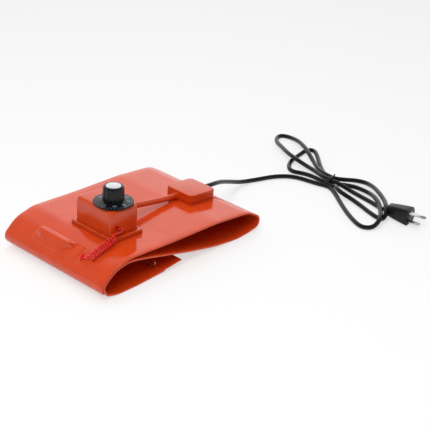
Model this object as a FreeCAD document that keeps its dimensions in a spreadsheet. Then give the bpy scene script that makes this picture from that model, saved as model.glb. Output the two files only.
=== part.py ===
import FreeCAD, Part

import math
import os

import Sketcher
from FreeCAD import Placement, Rotation, Vector

# Drum heater blanket, folded flat for storage
# Millimetres, +Z up, +X along the folded length, +Y across the band away from the
# housings' near end. The origin lies on the floor under the middle of the fold.

os.makedirs("parts", exist_ok=True)
doc = FreeCAD.newDocument("drum_heater_blanket")

# Driving dimensions
sheet = doc.addObject("Spreadsheet::Sheet", "Sizes")
DIMENSIONS = [
    ("band_width", 200.0, "width of the silicone band"),
    ("band_thickness", 2.6, "thickness of the heated laminate"),
    ("folded_length", 280.4, "length of the band as folded"),
    ("layer_gap", 0.5, "gap between the nested layers of the left fold"),
    ("flap_thickness", 0.9, "single ply past the heated area"),
    ("flap_length", 31.5, "length of that single ply"),
    ("patch_thickness", 1.0, "silicone patch over the sensor"),
    ("patch_length", 89.0, "patch length across the band"),
    ("patch_middle", 8.0, "where the patch is centred across the band"),
    ("bulb_diameter", 6.0, "sensor bulb"),
    ("bulb_length", 60.0, "sensor bulb"),
    ("capillary_diameter", 1.6, "capillary tube"),
    ("fit_gap", 0.15, "gap where one piece sits in another"),
    ("base_width", 53.0, "thermostat tray along the band"),
    ("base_length", 84.0, "thermostat tray across the band"),
    ("base_height", 6.0, "thermostat tray"),
    ("base_floor", 2.0, "floor of the tray"),
    ("base_corner", 4.0, "corner radius of the tray"),
    ("cover_width", 46.0, "thermostat cover along the band"),
    ("cover_length", 72.0, "thermostat cover across the band"),
    ("cover_top", 40.3, "top of the cover above the band"),
    ("cover_wall", 2.5, "wall of the cover"),
    ("cover_corner", 5.0, "upright corner radius of the cover"),
    ("cover_round", 3.5, "top edge radius of the cover"),
    ("knob_x", 0.0, "knob axis from the middle of the cover"),
    ("knob_y", -12.8, "knob axis from the middle of the cover"),
    ("skirt_diameter", 53.0, "dial skirt of the knob"),
    ("skirt_rim", 1.9, "edge thickness of the skirt"),
    ("skirt_clearance", 1.0, "air between the skirt and the cover"),
    ("grip_diameter", 28.5, "grip of the knob"),
    ("grip_height", 20.0, "grip above the skirt"),
    ("flute_radius", 3.4, "finger flutes round the grip"),
    ("flute_depth", 0.9, "finger flutes round the grip"),
    ("flute_count", 12, "finger flutes round the grip"),
    ("cap_diameter", 20.0, "disc on top of the knob"),
    ("cap_thickness", 1.0, "disc on top of the knob"),
    ("spindle_diameter", 6.0, "thermostat spindle"),
    ("spindle_clearance", 0.05, "radial clearance where the spindle turns"),
    ("plate_thickness", 1.5, "metal front plate of the thermostat"),
    ("plate_width", 36.0, "metal front plate"),
    ("plate_length", 22.0, "metal front plate"),
    ("screw_spacing", 28.0, "the two screws of the front plate"),
    ("screw_diameter", 4.0, "the two screws of the front plate"),
    ("body_width", 31.0, "thermostat switch block"),
    ("body_length", 38.0, "thermostat switch block"),
    ("body_height", 20.0, "thermostat switch block"),
    ("capsule_diameter", 22.0, "diaphragm capsule under the block"),
    ("capsule_height", 3.2, "diaphragm capsule under the block"),
    ("hook_hole", 4.6, "hole in the cover for parking the spring"),
    ("hook_hole_x", -13.1, "that hole from the middle of the cover"),
    ("hook_hole_height", 16.5, "that hole above the band"),
    ("sleeve_diameter", 7.4, "sleeve between the two boxes"),
    ("sleeve_wall", 1.2, "wall of the sleeve"),
    ("sleeve_rise", 17.0, "sleeve above the band at the thermostat"),
    ("sleeve_y", -12.0, "sleeve across the band"),
    ("wire_diameter", 1.8, "insulated link wires"),
    ("junction_width", 47.5, "junction box along the band"),
    ("junction_length", 50.0, "junction box across the band"),
    ("junction_height", 14.2, "junction box above the band"),
    ("junction_floor", 1.6, "base sheet of the junction box"),
    ("junction_wall", 3.0, "wall of the junction cover"),
    ("junction_corner", 7.0, "upright corner radius of the junction box"),
    ("junction_round", 0.8, "top edge radius of the junction box"),
    ("splice_diameter", 4.4, "crimped splices"),
    ("splice_length", 13.0, "crimped splices"),
    ("cord_diameter", 6.5, "round power cord"),
    ("cord_rise", 8.2, "cord above the band where it leaves"),
    ("ferrule_diameter", 9.0, "crimp ring that holds the cord"),
    ("ferrule_length", 6.0, "crimp ring that holds the cord"),
    ("spring_wire", 1.6, "wire of the spring"),
    ("spring_diameter", 10.4, "outside of the spring"),
    ("hook_wire", 1.8, "wire of the eye and of the end hook"),
    ("pad_thickness", 1.2, "silicone pad over the feet of the eye"),
    ("pad_length", 19.5, "that pad across the band"),
    ("blade_spacing", 12.7, "plug blades, middle to middle"),
    ("blade_width", 6.35, "plug blade"),
    ("blade_thickness", 1.5, "plug blade"),
    ("blade_length", 17.9, "plug blade past the face"),
    ("pin_diameter", 4.8, "round earth pin"),
    ("pin_length", 21.0, "earth pin past the face"),
    ("pin_offset", 11.9, "earth pin from the line of the blades"),
    ("plug_face_height", 23.0, "front face of the plug, as it lies"),
    ("plug_face_depth", 23.0, "front face of the plug, as it lies"),
    ("plug_length", 34.0, "plug body"),
    ("plug_neck", 15.0, "rear end of the plug body"),
]
for row, (alias, number, meaning) in enumerate(DIMENSIONS, start=1):
    sheet.set(f"A{row}", meaning)
    sheet.set(f"B{row}", str(number))
    sheet.setAlias(f"B{row}", alias)
doc.recompute()


def size(alias):
    return float(sheet.get(alias))


band_width = size("band_width")
thickness = size("band_thickness")
left = -size("folded_length") / 2
right = size("folded_length") / 2
floor_lift = thickness / 2


# Helpers for flat outlines in the X-Z plane
def unit(a, b):
    length = math.hypot(b[0] - a[0], b[1] - a[1])
    return ((b[0] - a[0]) / length, (b[1] - a[1]) / length)


def round_corners(route):
    """Turn (x, z, radius) points into straight runs joined by tangent arcs."""
    runs = []
    start = route[0][:2]
    for index in range(1, len(route) - 1):
        before, corner, after = route[index - 1], route[index], route[index + 1]
        way_in = unit(before, corner)
        way_out = unit(corner, after)
        cross = way_in[0] * way_out[1] - way_in[1] * way_out[0]
        dot = way_in[0] * way_out[0] + way_in[1] * way_out[1]
        turn = math.atan2(cross, dot)
        reach = corner[2] * math.tan(abs(turn) / 2)
        arc_start = (corner[0] - way_in[0] * reach, corner[1] - way_in[1] * reach)
        arc_end = (corner[0] + way_out[0] * reach, corner[1] + way_out[1] * reach)
        side = 1 if turn > 0 else -1
        centre = (
            arc_start[0] - side * way_in[1] * corner[2],
            arc_start[1] + side * way_in[0] * corner[2],
        )
        runs.append(("line", start, arc_start))
        runs.append(("arc", arc_start, arc_end, centre, side))
        start = arc_end
    runs.append(("line", start, route[-1][:2]))
    return runs


def shifted(runs, offset):
    """The same runs moved sideways, to the left of travel when offset is positive."""
    result = []
    for run in runs:
        if run[0] == "line":
            way = unit(run[1], run[2])
            move = (-way[1] * offset, way[0] * offset)
            result.append(("line", add(run[1], move), add(run[2], move)))
        else:
            kind, start, end, centre, side = run
            radius = math.hypot(start[0] - centre[0], start[1] - centre[1])
            scale = (radius - side * offset) / radius
            new_start = add(centre, (scale * (start[0] - centre[0]), scale * (start[1] - centre[1])))
            new_end = add(centre, (scale * (end[0] - centre[0]), scale * (end[1] - centre[1])))
            result.append((kind, new_start, new_end, centre, side))
    return result


def add(a, b):
    return (a[0] + b[0], a[1] + b[1])


def run_length(run):
    if run[0] == "line":
        return math.hypot(run[2][0] - run[1][0], run[2][1] - run[1][1])
    kind, start, end, centre, side = run
    radius = math.hypot(start[0] - centre[0], start[1] - centre[1])
    return radius * abs(sweep_of(run))


def sweep_of(run):
    kind, start, end, centre, side = run
    first = math.atan2(start[1] - centre[1], start[0] - centre[0])
    last = math.atan2(end[1] - centre[1], end[0] - centre[0])
    sweep = last - first
    while side > 0 and sweep < 0:
        sweep += 2 * math.pi
    while side < 0 and sweep > 0:
        sweep -= 2 * math.pi
    return sweep


def sketch_runs(sketch, runs):
    for run in runs:
        if run[0] == "line":
            line = Part.LineSegment(Vector(*run[1], 0), Vector(*run[2], 0))
            sketch.addGeometry(line, False)
        else:
            kind, start, end, centre, side = run
            radius = math.hypot(start[0] - centre[0], start[1] - centre[1])
            circle = Part.Circle(Vector(*centre, 0), Vector(0, 0, 1), radius)
            first = math.atan2(start[1] - centre[1], start[0] - centre[0])
            sweep = sweep_of(run)
            if side > 0:
                arc = Part.ArcOfCircle(circle, first, first + sweep)
            else:
                arc = Part.ArcOfCircle(circle, first + sweep, first)
            sketch.addGeometry(arc, False)


def backwards(runs):
    result = []
    for run in reversed(runs):
        if run[0] == "line":
            result.append(("line", run[2], run[1]))
        else:
            result.append(("arc", run[2], run[1], run[3], -run[4]))
    return result


def closed(left_side, right_side):
    """Close two sides of a strip with a straight cut at each end."""
    last = ("line", left_side[-1][2], right_side[-1][2])
    first = ("line", right_side[0][1], left_side[0][1])
    return left_side + [last] + backwards(right_side) + [first]


# Helpers for bodies and sketches
def new_body(name):
    body = doc.addObject("PartDesign::Body", name)
    body.Label = name
    return body


def origin_plane(body, role):
    return next(item for item in body.Origin.OriginFeatures if item.Role == role)


def new_sketch(body, name, role, lift=0.0):
    sketch = body.newObject("Sketcher::SketchObject", name)
    sketch.AttachmentSupport = [(origin_plane(body, role), "")]
    sketch.MapMode = "FlatFace"
    sketch.AttachmentOffset = Placement(Vector(0, 0, lift), Rotation())
    return sketch


def rectangle(sketch, width, depth, gap="0"):
    """A rectangle about the origin, its sides bound to named sizes plus a gap each side."""
    corners = [(-1, -1), (1, -1), (1, 1), (-1, 1)]
    for index in range(4):
        a = corners[index]
        b = corners[(index + 1) % 4]
        line = Part.LineSegment(Vector(a[0] * 10, a[1] * 10, 0), Vector(b[0] * 10, b[1] * 10, 0))
        sketch.addGeometry(line, False)
    for index in range(4):
        joined = Sketcher.Constraint("Coincident", index, 2, (index + 1) % 4, 1)
        sketch.addConstraint(joined)
    sketch.addConstraint(Sketcher.Constraint("Horizontal", 0))
    sketch.addConstraint(Sketcher.Constraint("Vertical", 1))
    sketch.addConstraint(Sketcher.Constraint("Horizontal", 2))
    sketch.addConstraint(Sketcher.Constraint("Vertical", 3))
    sketch.addConstraint(Sketcher.Constraint("Symmetric", 0, 1, 1, 2, -1, 1))
    across = sketch.addConstraint(Sketcher.Constraint("DistanceX", 0, 1, 0, 2, 20.0))
    along = sketch.addConstraint(Sketcher.Constraint("DistanceY", 1, 1, 1, 2, 20.0))
    sketch.setExpression(f"Constraints[{across}]", f"{width} + 2 * ({gap})")
    sketch.setExpression(f"Constraints[{along}]", f"{depth} + 2 * ({gap})")


def circle_at(sketch, diameter, x="0", y="0"):
    sketch.addGeometry(Part.Circle(Vector(1, 1, 0), Vector(0, 0, 1), 2), False)
    wide = sketch.addConstraint(Sketcher.Constraint("Diameter", 0, 4.0))
    across = sketch.addConstraint(Sketcher.Constraint("DistanceX", -1, 1, 0, 3, 1.0))
    along = sketch.addConstraint(Sketcher.Constraint("DistanceY", -1, 1, 0, 3, 1.0))
    sketch.setExpression(f"Constraints[{wide}]", diameter)
    sketch.setExpression(f"Constraints[{across}]", x)
    sketch.setExpression(f"Constraints[{along}]", y)


def pad(body, sketch, name, length):
    feature = body.newObject("PartDesign::Pad", name)
    feature.Profile = sketch
    feature.setExpression("Length", length)
    body.Tip = feature
    doc.recompute()
    return feature


def pocket(body, sketch, name, through=True, length=None):
    """Cut away from the sketch along its normal."""
    before = body.Shape.Volume
    feature = body.newObject("PartDesign::Pocket", name)
    feature.Profile = sketch
    feature.Reversed = True
    if through:
        feature.Type = "ThroughAll"
    else:
        feature.setExpression("Length", length)
    body.Tip = feature
    doc.recompute()
    if not body.Shape.Volume < before - 0.1:
        raise ValueError(f"{name} cuts nothing")
    return feature


def fillet(body, base, name, edges, radius, kind="PartDesign::Fillet"):
    feature = body.newObject(kind, name)
    feature.Base = (base, edges)
    feature.setExpression("Radius" if kind.endswith("Fillet") else "Size", radius)
    body.Tip = feature
    doc.recompute()
    return feature


def upright_edges(shape):
    names = []
    for index, edge in enumerate(shape.Edges, start=1):
        way = edge.Vertexes[-1].Point - edge.Vertexes[0].Point
        if way.Length > 1 and abs(way.z) > 0.99 * way.Length:
            names.append(f"Edge{index}")
    return names


def edges_at_height(shape, height, reach_x=None, reach_y=None):
    """Edges lying at one height, within a box about the axis where one is given."""
    names = []
    for index, edge in enumerate(shape.Edges, start=1):
        box = edge.BoundBox
        level = abs(box.ZMin - height) < 0.01 and abs(box.ZMax - height) < 0.01
        inside_x = reach_x is None or max(abs(box.XMin), abs(box.XMax)) < reach_x
        inside_y = reach_y is None or max(abs(box.YMin), abs(box.YMax)) < reach_y
        if level and inside_x and inside_y:
            names.append(f"Edge{index}")
    return names


def solid_object(name, shape, place=None):
    item = doc.addObject("Part::Feature", name)
    item.Label = name
    item.Shape = shape
    if place is not None:
        item.Placement = place
    return item


def primitive(kind, name, sizes, place=None):
    item = doc.addObject(kind, name)
    item.Label = name
    for key, expression in sizes.items():
        item.setExpression(key, expression)
    if place is not None:
        item.Placement = place
    return item


def cut(name, base, tools, place=None):
    """Cut tools from base one after the other; the last result is the named piece."""
    current = base
    for index, tool in enumerate(tools):
        last = index == len(tools) - 1
        item = doc.addObject("Part::Cut", name if last else f"{name}_cut_{index}")
        item.Base = current
        item.Tool = tool
        current = item
    current.Label = name
    if place is not None:
        current.Placement = place
    return current


# Route of the band's middle surface, seen along +Y
# Outer end, left fold, top, right fold, middle layer, left fold again, bottom, tip
def over(route_x, rise, radius=0.0):
    return (route_x, floor_lift + rise, radius)


OUTER_FOLD = [
    over(left + 3.4, 8.3),
    over(left - 0.9, 17.35, 10.2),
    over(left + 20.6, 35.7, 44.0),
    over(left + 50.1, 42.3, 45.0),
]
TOP_AND_RIGHT = [
    over(left + 118.0, 38.75, 400.0),
    over(right - 80.4, 36.75, 80.0),
    over(right - 22.7, 30.8, 28.0),
    over(right - 0.4, 17.5, 8.2),
    over(right - 3.0, 5.0, 9.2),
    over(right - 18.6, 1.9, 120.0),
    over(right - 37.5, 0.0, 100.0),
    over(right - 48.3, 0.0, 100.0),
]
MIDDLE = [
    over(left + 196.1, 3.9, 300.0),
    over(left + 150.3, 13.3, 600.0),
    over(left + 84.3, 30.0, 500.0),
]
nest = thickness + size("layer_gap")


def nested(previous, corner, following):
    """The corner of a parallel route that lies inside the outer fold."""
    way_in = unit(previous, corner)
    way_out = unit(corner, following)
    normal = (way_in[1] + way_out[1], -way_in[0] - way_out[0])
    length = math.hypot(*normal)
    normal = (normal[0] / length, normal[1] / length)
    shrink = normal[0] * way_in[1] - normal[1] * way_in[0]
    radius = corner[2] - nest
    return (corner[0] + normal[0] * nest / shrink, corner[1] + normal[1] * nest / shrink, radius)


inner_high = nested(OUTER_FOLD[1], OUTER_FOLD[2], OUTER_FOLD[3])
inner_low = nested(OUTER_FOLD[0], OUTER_FOLD[1], OUTER_FOLD[2])
under_crown = unit(OUTER_FOLD[2], OUTER_FOLD[3])
merge_run = 26.5
merge = (
    inner_high[0] + under_crown[0] * merge_run,
    inner_high[1] + under_crown[1] * merge_run,
    55.0,
)
BOTTOM = [
    over(left + 8.9, 4.0, 8.4),
    over(left + 27.1, 0.0, 60.0),
    over(left + 58.0, 0.0, 150.0),
    over(left + 104.0, 2.5, 400.0),
]
flap_slope = 6.6
flap_tip = over(
    BOTTOM[-1][0] + size("flap_length") * math.cos(math.radians(flap_slope)),
    BOTTOM[-1][1] - floor_lift + size("flap_length") * math.sin(math.radians(flap_slope)),
)
route = OUTER_FOLD + TOP_AND_RIGHT + MIDDLE + [merge, inner_high, inner_low] + BOTTOM + [flap_tip]
centreline = round_corners(route)
band_length = sum(run_length(run) for run in centreline)
print(f"band length along its middle surface {band_length:.1f} mm")

# Silicone band: one strip with a thin single ply at its inner end
flap_start = centreline[-1][1]
heated_runs = centreline[:-1]
flap_run = [centreline[-1]]
half = thickness / 2
lower_ply = shifted(flap_run, -(size("flap_thickness") - half))
upper_side = shifted(centreline, half)
lower_side = shifted(heated_runs, -half)
step = [("line", lower_side[-1][2], lower_ply[0][1])]
band_outline = closed(upper_side, lower_side + step + lower_ply)
band = new_body("band_strip")
strip = new_sketch(band, "strip_outline", "XZ_Plane")
sketch_runs(strip, band_outline)
doc.recompute()
band_pad = pad(band, strip, "strip_pad", "Sizes.band_width")
band_pad.Midplane = True
doc.recompute()


# Straight facets of the top layer, where the two boxes stand
def facet(first, second, along, across):
    """A frame on the outer face of a straight run, +Z out of the band."""
    way = unit(first, second)
    reach = along - first[0]
    rise = first[1] + reach * way[1] / way[0]
    tilt = -math.degrees(math.atan2(way[1], way[0]))
    turn = Rotation(Vector(0, 1, 0), tilt)
    out = turn.multVec(Vector(0, 0, half))
    return Placement(Vector(along, across, rise) + out, turn)


housing_place = facet(OUTER_FOLD[3], TOP_AND_RIGHT[0], left + 80.3, -16.05)
junction_place = facet(TOP_AND_RIGHT[1], TOP_AND_RIGHT[2], left + 229.8, -15.3)


def in_housing(x, y, z):
    return housing_place.multiply(Placement(Vector(x, y, z), Rotation()))


def in_junction(x, y, z):
    return junction_place.multiply(Placement(Vector(x, y, z), Rotation()))


# Tray under the thermostat cover, bonded to the band
tray = new_body("thermostat_base")
tray_outline = new_sketch(tray, "tray_outline", "XY_Plane")
rectangle(tray_outline, "Sizes.base_width", "Sizes.base_length")
tray_pad = pad(tray, tray_outline, "tray_pad", "Sizes.base_height")
tray_round = fillet(tray, tray_pad, "tray_corners", upright_edges(tray_pad.Shape), "Sizes.base_corner")
tray_seat = new_sketch(tray, "tray_seat", "XY_Plane", size("base_floor"))
tray_seat.setExpression("AttachmentOffset.Base.z", "Sizes.base_floor")
rectangle(tray_seat, "Sizes.cover_width", "Sizes.cover_length", "Sizes.fit_gap")
tray_cut = pocket(tray, tray_seat, "tray_recess")
seat_edges = edges_at_height(
    tray_cut.Shape, size("base_height"), size("cover_width") / 2 + 1, size("cover_length") / 2 + 1
)
lip_limit = "(Sizes.base_width - Sizes.cover_width) / 2 - 2 * Sizes.fit_gap"
lip_size = "min(Sizes.base_height * 0.3; " + lip_limit + ")"
tray_lip = fillet(tray, tray_cut, "tray_lip", seat_edges, lip_size, "PartDesign::Chamfer")
tray.Placement = housing_place

# Moulded silicone cover, open underneath, standing in the tray
cover = new_body("thermostat_housing")
cover_outline = new_sketch(cover, "cover_outline", "XY_Plane")
rectangle(cover_outline, "Sizes.cover_width", "Sizes.cover_length")
cover_pad = pad(cover, cover_outline, "cover_pad", "Sizes.cover_top - Sizes.base_floor")
cover_round = fillet(
    cover, cover_pad, "cover_corners", upright_edges(cover_pad.Shape), "Sizes.cover_corner"
)
cover_rise = size("cover_top") - size("base_floor")
cover_rim = edges_at_height(cover_round.Shape, cover_rise)
cover_soft = fillet(cover, cover_round, "cover_top_edge", cover_rim, "Sizes.cover_round")
cover_hollow = new_sketch(cover, "cover_hollow", "XY_Plane")
rectangle(cover_hollow, "Sizes.cover_width", "Sizes.cover_length", "-Sizes.cover_wall - 1")
hollow = pocket(
    cover,
    cover_hollow,
    "cover_inside",
    through=False,
    length="Sizes.cover_top - Sizes.base_floor - Sizes.cover_wall",
)
spindle_way = new_sketch(cover, "spindle_way", "XY_Plane")
circle_at(spindle_way, "Sizes.spindle_diameter + 3", "Sizes.knob_x", "Sizes.knob_y")
pocket(cover, spindle_way, "spindle_hole")
for index, side in enumerate(("-", "+")):
    screw_way = new_sketch(cover, f"screw_way_{index}", "XY_Plane")
    circle_at(
        screw_way,
        "Sizes.screw_diameter + 2 * Sizes.fit_gap",
        f"Sizes.knob_x {side} Sizes.screw_spacing / 2",
        "Sizes.knob_y",
    )
    pocket(cover, screw_way, f"screw_hole_{index}")
hook_way = new_sketch(cover, "hook_way", "XZ_Plane")
circle_at(hook_way, "Sizes.hook_hole", "Sizes.hook_hole_x", "Sizes.hook_hole_height - Sizes.base_floor")
pocket(cover, hook_way, "hook_hole")
sleeve_local_y = size("sleeve_y") - housing_place.Base.y
sleeve_way = new_sketch(cover, "sleeve_way", "YZ_Plane")
circle_at(
    sleeve_way,
    "Sizes.sleeve_diameter + Sizes.fit_gap",
    f"Sizes.sleeve_y - ({housing_place.Base.y})",
    "Sizes.sleeve_rise - Sizes.base_floor",
)
pocket(cover, sleeve_way, "sleeve_hole")
cover.Placement = in_housing(0, 0, size("base_floor"))

# Thermostat: front plate, switch block, diaphragm capsule, tabs and spindle
knob_x = size("knob_x")
knob_y = size("knob_y")
ceiling = size("cover_top") - size("cover_wall")
plate_top = ceiling - 0.1
plate_low = plate_top - size("plate_thickness")
block_low = plate_low - size("body_height")
block_y = knob_y + 5.0

plate = new_body("thermostat_plate")
plate_outline = new_sketch(plate, "plate_outline", "XY_Plane")
rectangle(plate_outline, "Sizes.plate_width", "Sizes.plate_length")
plate_pad = pad(plate, plate_outline, "plate_pad", "Sizes.plate_thickness")
plate_hole = new_sketch(plate, "plate_hole", "XY_Plane")
circle_at(plate_hole, "Sizes.spindle_diameter + 2")
pocket(plate, plate_hole, "plate_spindle_hole")
for index, side in enumerate(("-", "")):
    tapped = new_sketch(plate, f"tapped_{index}", "XY_Plane")
    circle_at(tapped, "Sizes.screw_diameter + 0.02", f"{side}Sizes.screw_spacing / 2")
    pocket(plate, tapped, f"tapped_hole_{index}")
plate.Placement = in_housing(knob_x, knob_y, plate_low)

block = primitive(
    "Part::Box",
    "block_blank",
    {"Length": "Sizes.body_width", "Width": "Sizes.body_length", "Height": "Sizes.body_height"},
    Placement(Vector(-size("body_width") / 2, block_y - knob_y - size("body_length") / 2, 0), Rotation()),
)
socket = primitive(
    "Part::Cylinder",
    "block_socket",
    {"Radius": "Sizes.spindle_diameter / 2 + Sizes.spindle_clearance", "Height": "Sizes.body_height"},
    Placement(Vector(0, 0, 9.0), Rotation()),
)
screw_room = [
    primitive(
        "Part::Cylinder",
        f"block_screw_room_{index}",
        {"Radius": "Sizes.screw_diameter / 2 + 0.3", "Height": "Sizes.body_height"},
        Placement(Vector(side * size("screw_spacing") / 2, 0, size("body_height") - 6.0), Rotation()),
    )
    for index, side in enumerate((-1, 1))
]
cut("thermostat_body", block, [socket] + screw_room, in_housing(knob_x, knob_y, block_low))
primitive(
    "Part::Cylinder",
    "diaphragm_capsule",
    {"Radius": "Sizes.capsule_diameter / 2", "Height": "Sizes.capsule_height"},
    in_housing(knob_x, knob_y + 6.0, block_low - size("capsule_height")),
)
tab_gap = 10.0
tab_length = 9.0
tab_thickness = 0.8
tab_width = 6.3
tab_shapes = []
for side in (-1, 1):
    tab = Part.makeBox(tab_width, tab_length, tab_thickness)
    tab.translate(Vector(side * tab_gap / 2 - tab_width / 2, 0, 0))
    tab_shapes.append(tab)
block_end = block_y + size("body_length") / 2
tab_height = block_low + 8.0
solid_object("terminal_tabs", Part.makeCompound(tab_shapes), in_housing(knob_x, block_end, tab_height))

spindle_top = size("cover_top") + size("skirt_clearance") + 14.0
spindle_low = block_low + 9.2
spindle_length = spindle_top - spindle_low
spindle = doc.addObject("Part::Cylinder", "spindle")
spindle.Label = "spindle"
spindle.setExpression("Radius", "Sizes.spindle_diameter / 2")
spindle.Height = spindle_length
spindle.Placement = in_housing(knob_x, knob_y, spindle_low)

# Two screws, heads on the cover under the dial skirt
head_height = 0.7
screw_shapes = []
for side in (-1, 1):
    shank = Part.makeCylinder(size("screw_diameter") / 2, size("cover_wall") + 5.0)
    head = Part.makeCylinder(size("screw_diameter") * 0.85, head_height)
    head.translate(Vector(0, 0, size("cover_wall") + 5.0))
    screw = shank.fuse(head).removeSplitter()
    screw.translate(Vector(side * size("screw_spacing") / 2, 0, size("cover_top") - size("cover_wall") - 5.0))
    screw_shapes.append(screw)
solid_object("mounting_screws", Part.makeCompound(screw_shapes), in_housing(knob_x, knob_y, 0))

# Knob with a dial skirt, twelve finger flutes and a recess for its disc
knob = new_body("knob")
profile = new_sketch(knob, "knob_profile", "XZ_Plane")
skirt_radius = size("skirt_diameter") / 2
grip_radius = size("grip_diameter") / 2
skirt_dish = 1.2
grip_foot = size("skirt_rim") + 1.3
knob_top = grip_foot + size("grip_height")
top_bevel = 1.3
bore_radius = size("spindle_diameter") / 2 + 0.01
bore_depth = 14.2
cap_radius = size("cap_diameter") / 2
cap_seat = knob_top - size("cap_thickness") + 0.3
knob_points = [
    (bore_radius, skirt_dish),
    (skirt_radius - 2.0, skirt_dish),
    (skirt_radius - 1.2, 0.0),
    (skirt_radius, 0.0),
    (skirt_radius, size("skirt_rim")),
    (grip_radius + 1.2, grip_foot - 0.6),
    (grip_radius + 0.35, grip_foot),
    (grip_radius - 0.35, knob_top - top_bevel),
    (grip_radius - 0.35 - top_bevel, knob_top),
    (cap_radius + 0.05, knob_top),
    (cap_radius + 0.05, cap_seat),
    (0.0, cap_seat),
    (0.0, bore_depth),
    (bore_radius, bore_depth),
]
for index, point in enumerate(knob_points):
    following = knob_points[(index + 1) % len(knob_points)]
    profile.addGeometry(Part.LineSegment(Vector(*point, 0), Vector(*following, 0)), False)
doc.recompute()
turned = knob.newObject("PartDesign::Revolution", "knob_turned")
turned.Profile = profile
turned.ReferenceAxis = (profile, ["V_Axis"])
turned.Angle = 360
knob.Tip = turned
doc.recompute()
flute = new_sketch(knob, "flute_outline", "XY_Plane", grip_foot + 0.3)
circle_at(
    flute,
    "2 * Sizes.flute_radius",
    "Sizes.grip_diameter / 2 + Sizes.flute_radius - Sizes.flute_depth",
)
flute_cut = pocket(knob, flute, "flute")
flutes = knob.newObject("PartDesign::PolarPattern", "flutes")
flutes.Originals = [flute_cut]
flutes.Axis = (origin_plane(knob, "Z_Axis"), [""])
flutes.Angle = 360
flutes.Occurrences = int(size("flute_count"))
knob.Tip = flutes
doc.recompute()
skirt_low = size("cover_top") + size("skirt_clearance")
knob.Placement = in_housing(knob_x, knob_y, skirt_low)
primitive(
    "Part::Cylinder",
    "knob_cap",
    {"Radius": "Sizes.cap_diameter / 2", "Height": "Sizes.cap_thickness"},
    in_housing(knob_x, knob_y, skirt_low + cap_seat),
)

# Junction box: a base sheet bonded to the band and a moulded cover over the splices
plinth = new_body("junction_base")
plinth_outline = new_sketch(plinth, "plinth_outline", "XY_Plane")
rectangle(plinth_outline, "Sizes.junction_width", "Sizes.junction_length")
plinth_pad = pad(plinth, plinth_outline, "plinth_pad", "Sizes.junction_floor")
fillet(plinth, plinth_pad, "plinth_corners", upright_edges(plinth_pad.Shape), "Sizes.junction_corner")
plinth.Placement = junction_place

lid = new_body("junction_cover")
lid_outline = new_sketch(lid, "lid_outline", "XY_Plane")
rectangle(lid_outline, "Sizes.junction_width", "Sizes.junction_length")
lid_pad = pad(lid, lid_outline, "lid_pad", "Sizes.junction_height - Sizes.junction_floor")
lid_round = fillet(lid, lid_pad, "lid_corners", upright_edges(lid_pad.Shape), "Sizes.junction_corner")
lid_rise = size("junction_height") - size("junction_floor")
lid_rim = edges_at_height(lid_round.Shape, lid_rise)
lid_soft = fillet(lid, lid_round, "lid_top_edge", lid_rim, "Sizes.junction_round")
lid_hollow = new_sketch(lid, "lid_hollow", "XY_Plane")
rectangle(lid_hollow, "Sizes.junction_width", "Sizes.junction_length", "-Sizes.junction_wall")
pocket(
    lid,
    lid_hollow,
    "lid_inside",
    through=False,
    length="Sizes.junction_height - Sizes.junction_floor - Sizes.junction_wall / 2",
)
sleeve_end_y = size("sleeve_y") - junction_place.Base.y
sleeve_end_rise = size("junction_floor") + size("sleeve_diameter") / 2 + 0.4
lid_sleeve_hole = new_sketch(lid, "lid_sleeve_hole", "YZ_Plane")
circle_at(
    lid_sleeve_hole,
    "Sizes.sleeve_diameter + Sizes.fit_gap",
    str(sleeve_end_y),
    "Sizes.sleeve_diameter / 2 + 0.4",
)
sleeve_hole = lid.newObject("PartDesign::Pocket", "sleeve_entry")
sleeve_hole.Profile = lid_sleeve_hole
sleeve_hole.Type = "ThroughAll"
lid.Tip = sleeve_hole
doc.recompute()
lid_cord_hole = new_sketch(lid, "lid_cord_hole", "YZ_Plane")
circle_at(
    lid_cord_hole, "Sizes.cord_diameter + Sizes.fit_gap", "0", "Sizes.cord_rise - Sizes.junction_floor"
)
pocket(lid, lid_cord_hole, "cord_exit")
lid.Placement = in_junction(0, 0, size("junction_floor"))


# Helpers for round tubes along a route of straight runs and tangent arcs
def smooth_path(points, radii=None):
    """Straight runs joined by arcs as large as the runs allow; returns wire and radii."""
    edges = []
    used = []
    start = points[0]
    for index in range(1, len(points) - 1):
        before, corner, after = points[index - 1], points[index], points[index + 1]
        way_in = (corner - before).normalize()
        way_out = (after - corner).normalize()
        turn = way_in.getAngle(way_out)
        shorter = min((corner - before).Length, (after - corner).Length)
        radius = 0.45 * shorter / math.tan(turn / 2)
        if radii is not None and radii[index - 1] is not None:
            radius = radii[index - 1]
        used.append(radius)
        reach = radius * math.tan(turn / 2)
        arc_start = corner - way_in * reach
        arc_end = corner + way_out * reach
        towards = (way_out - way_in).normalize()
        middle = corner + towards * (radius / math.cos(turn / 2) - radius)
        edges.append(Part.LineSegment(start, arc_start).toShape())
        edges.append(Part.Arc(arc_start, middle, arc_end).toShape())
        start = arc_end
    edges.append(Part.LineSegment(start, points[-1]).toShape())
    return Part.Wire(edges), used


def tube(path, diameter):
    """A round bar along the path: a cylinder for each straight run, a bend for each arc."""
    lengths = []
    for edge in path.Edges:
        start = edge.valueAt(edge.FirstParameter)
        way = edge.tangentAt(edge.FirstParameter)
        disc = Part.Face(Part.Wire(Part.Circle(start, way, diameter / 2).toShape()))
        if isinstance(edge.Curve, Part.Line):
            lengths.append(disc.extrude(edge.valueAt(edge.LastParameter) - start))
        else:
            sweep = math.degrees(edge.LastParameter - edge.FirstParameter)
            lengths.append(disc.revolve(edge.Curve.Center, edge.Curve.Axis, sweep))
    bar = lengths[0].fuse(lengths[1:])
    if len(bar.Solids) != 1:
        raise ValueError("the bar is not one solid")
    return bar.Solids[0]


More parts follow.
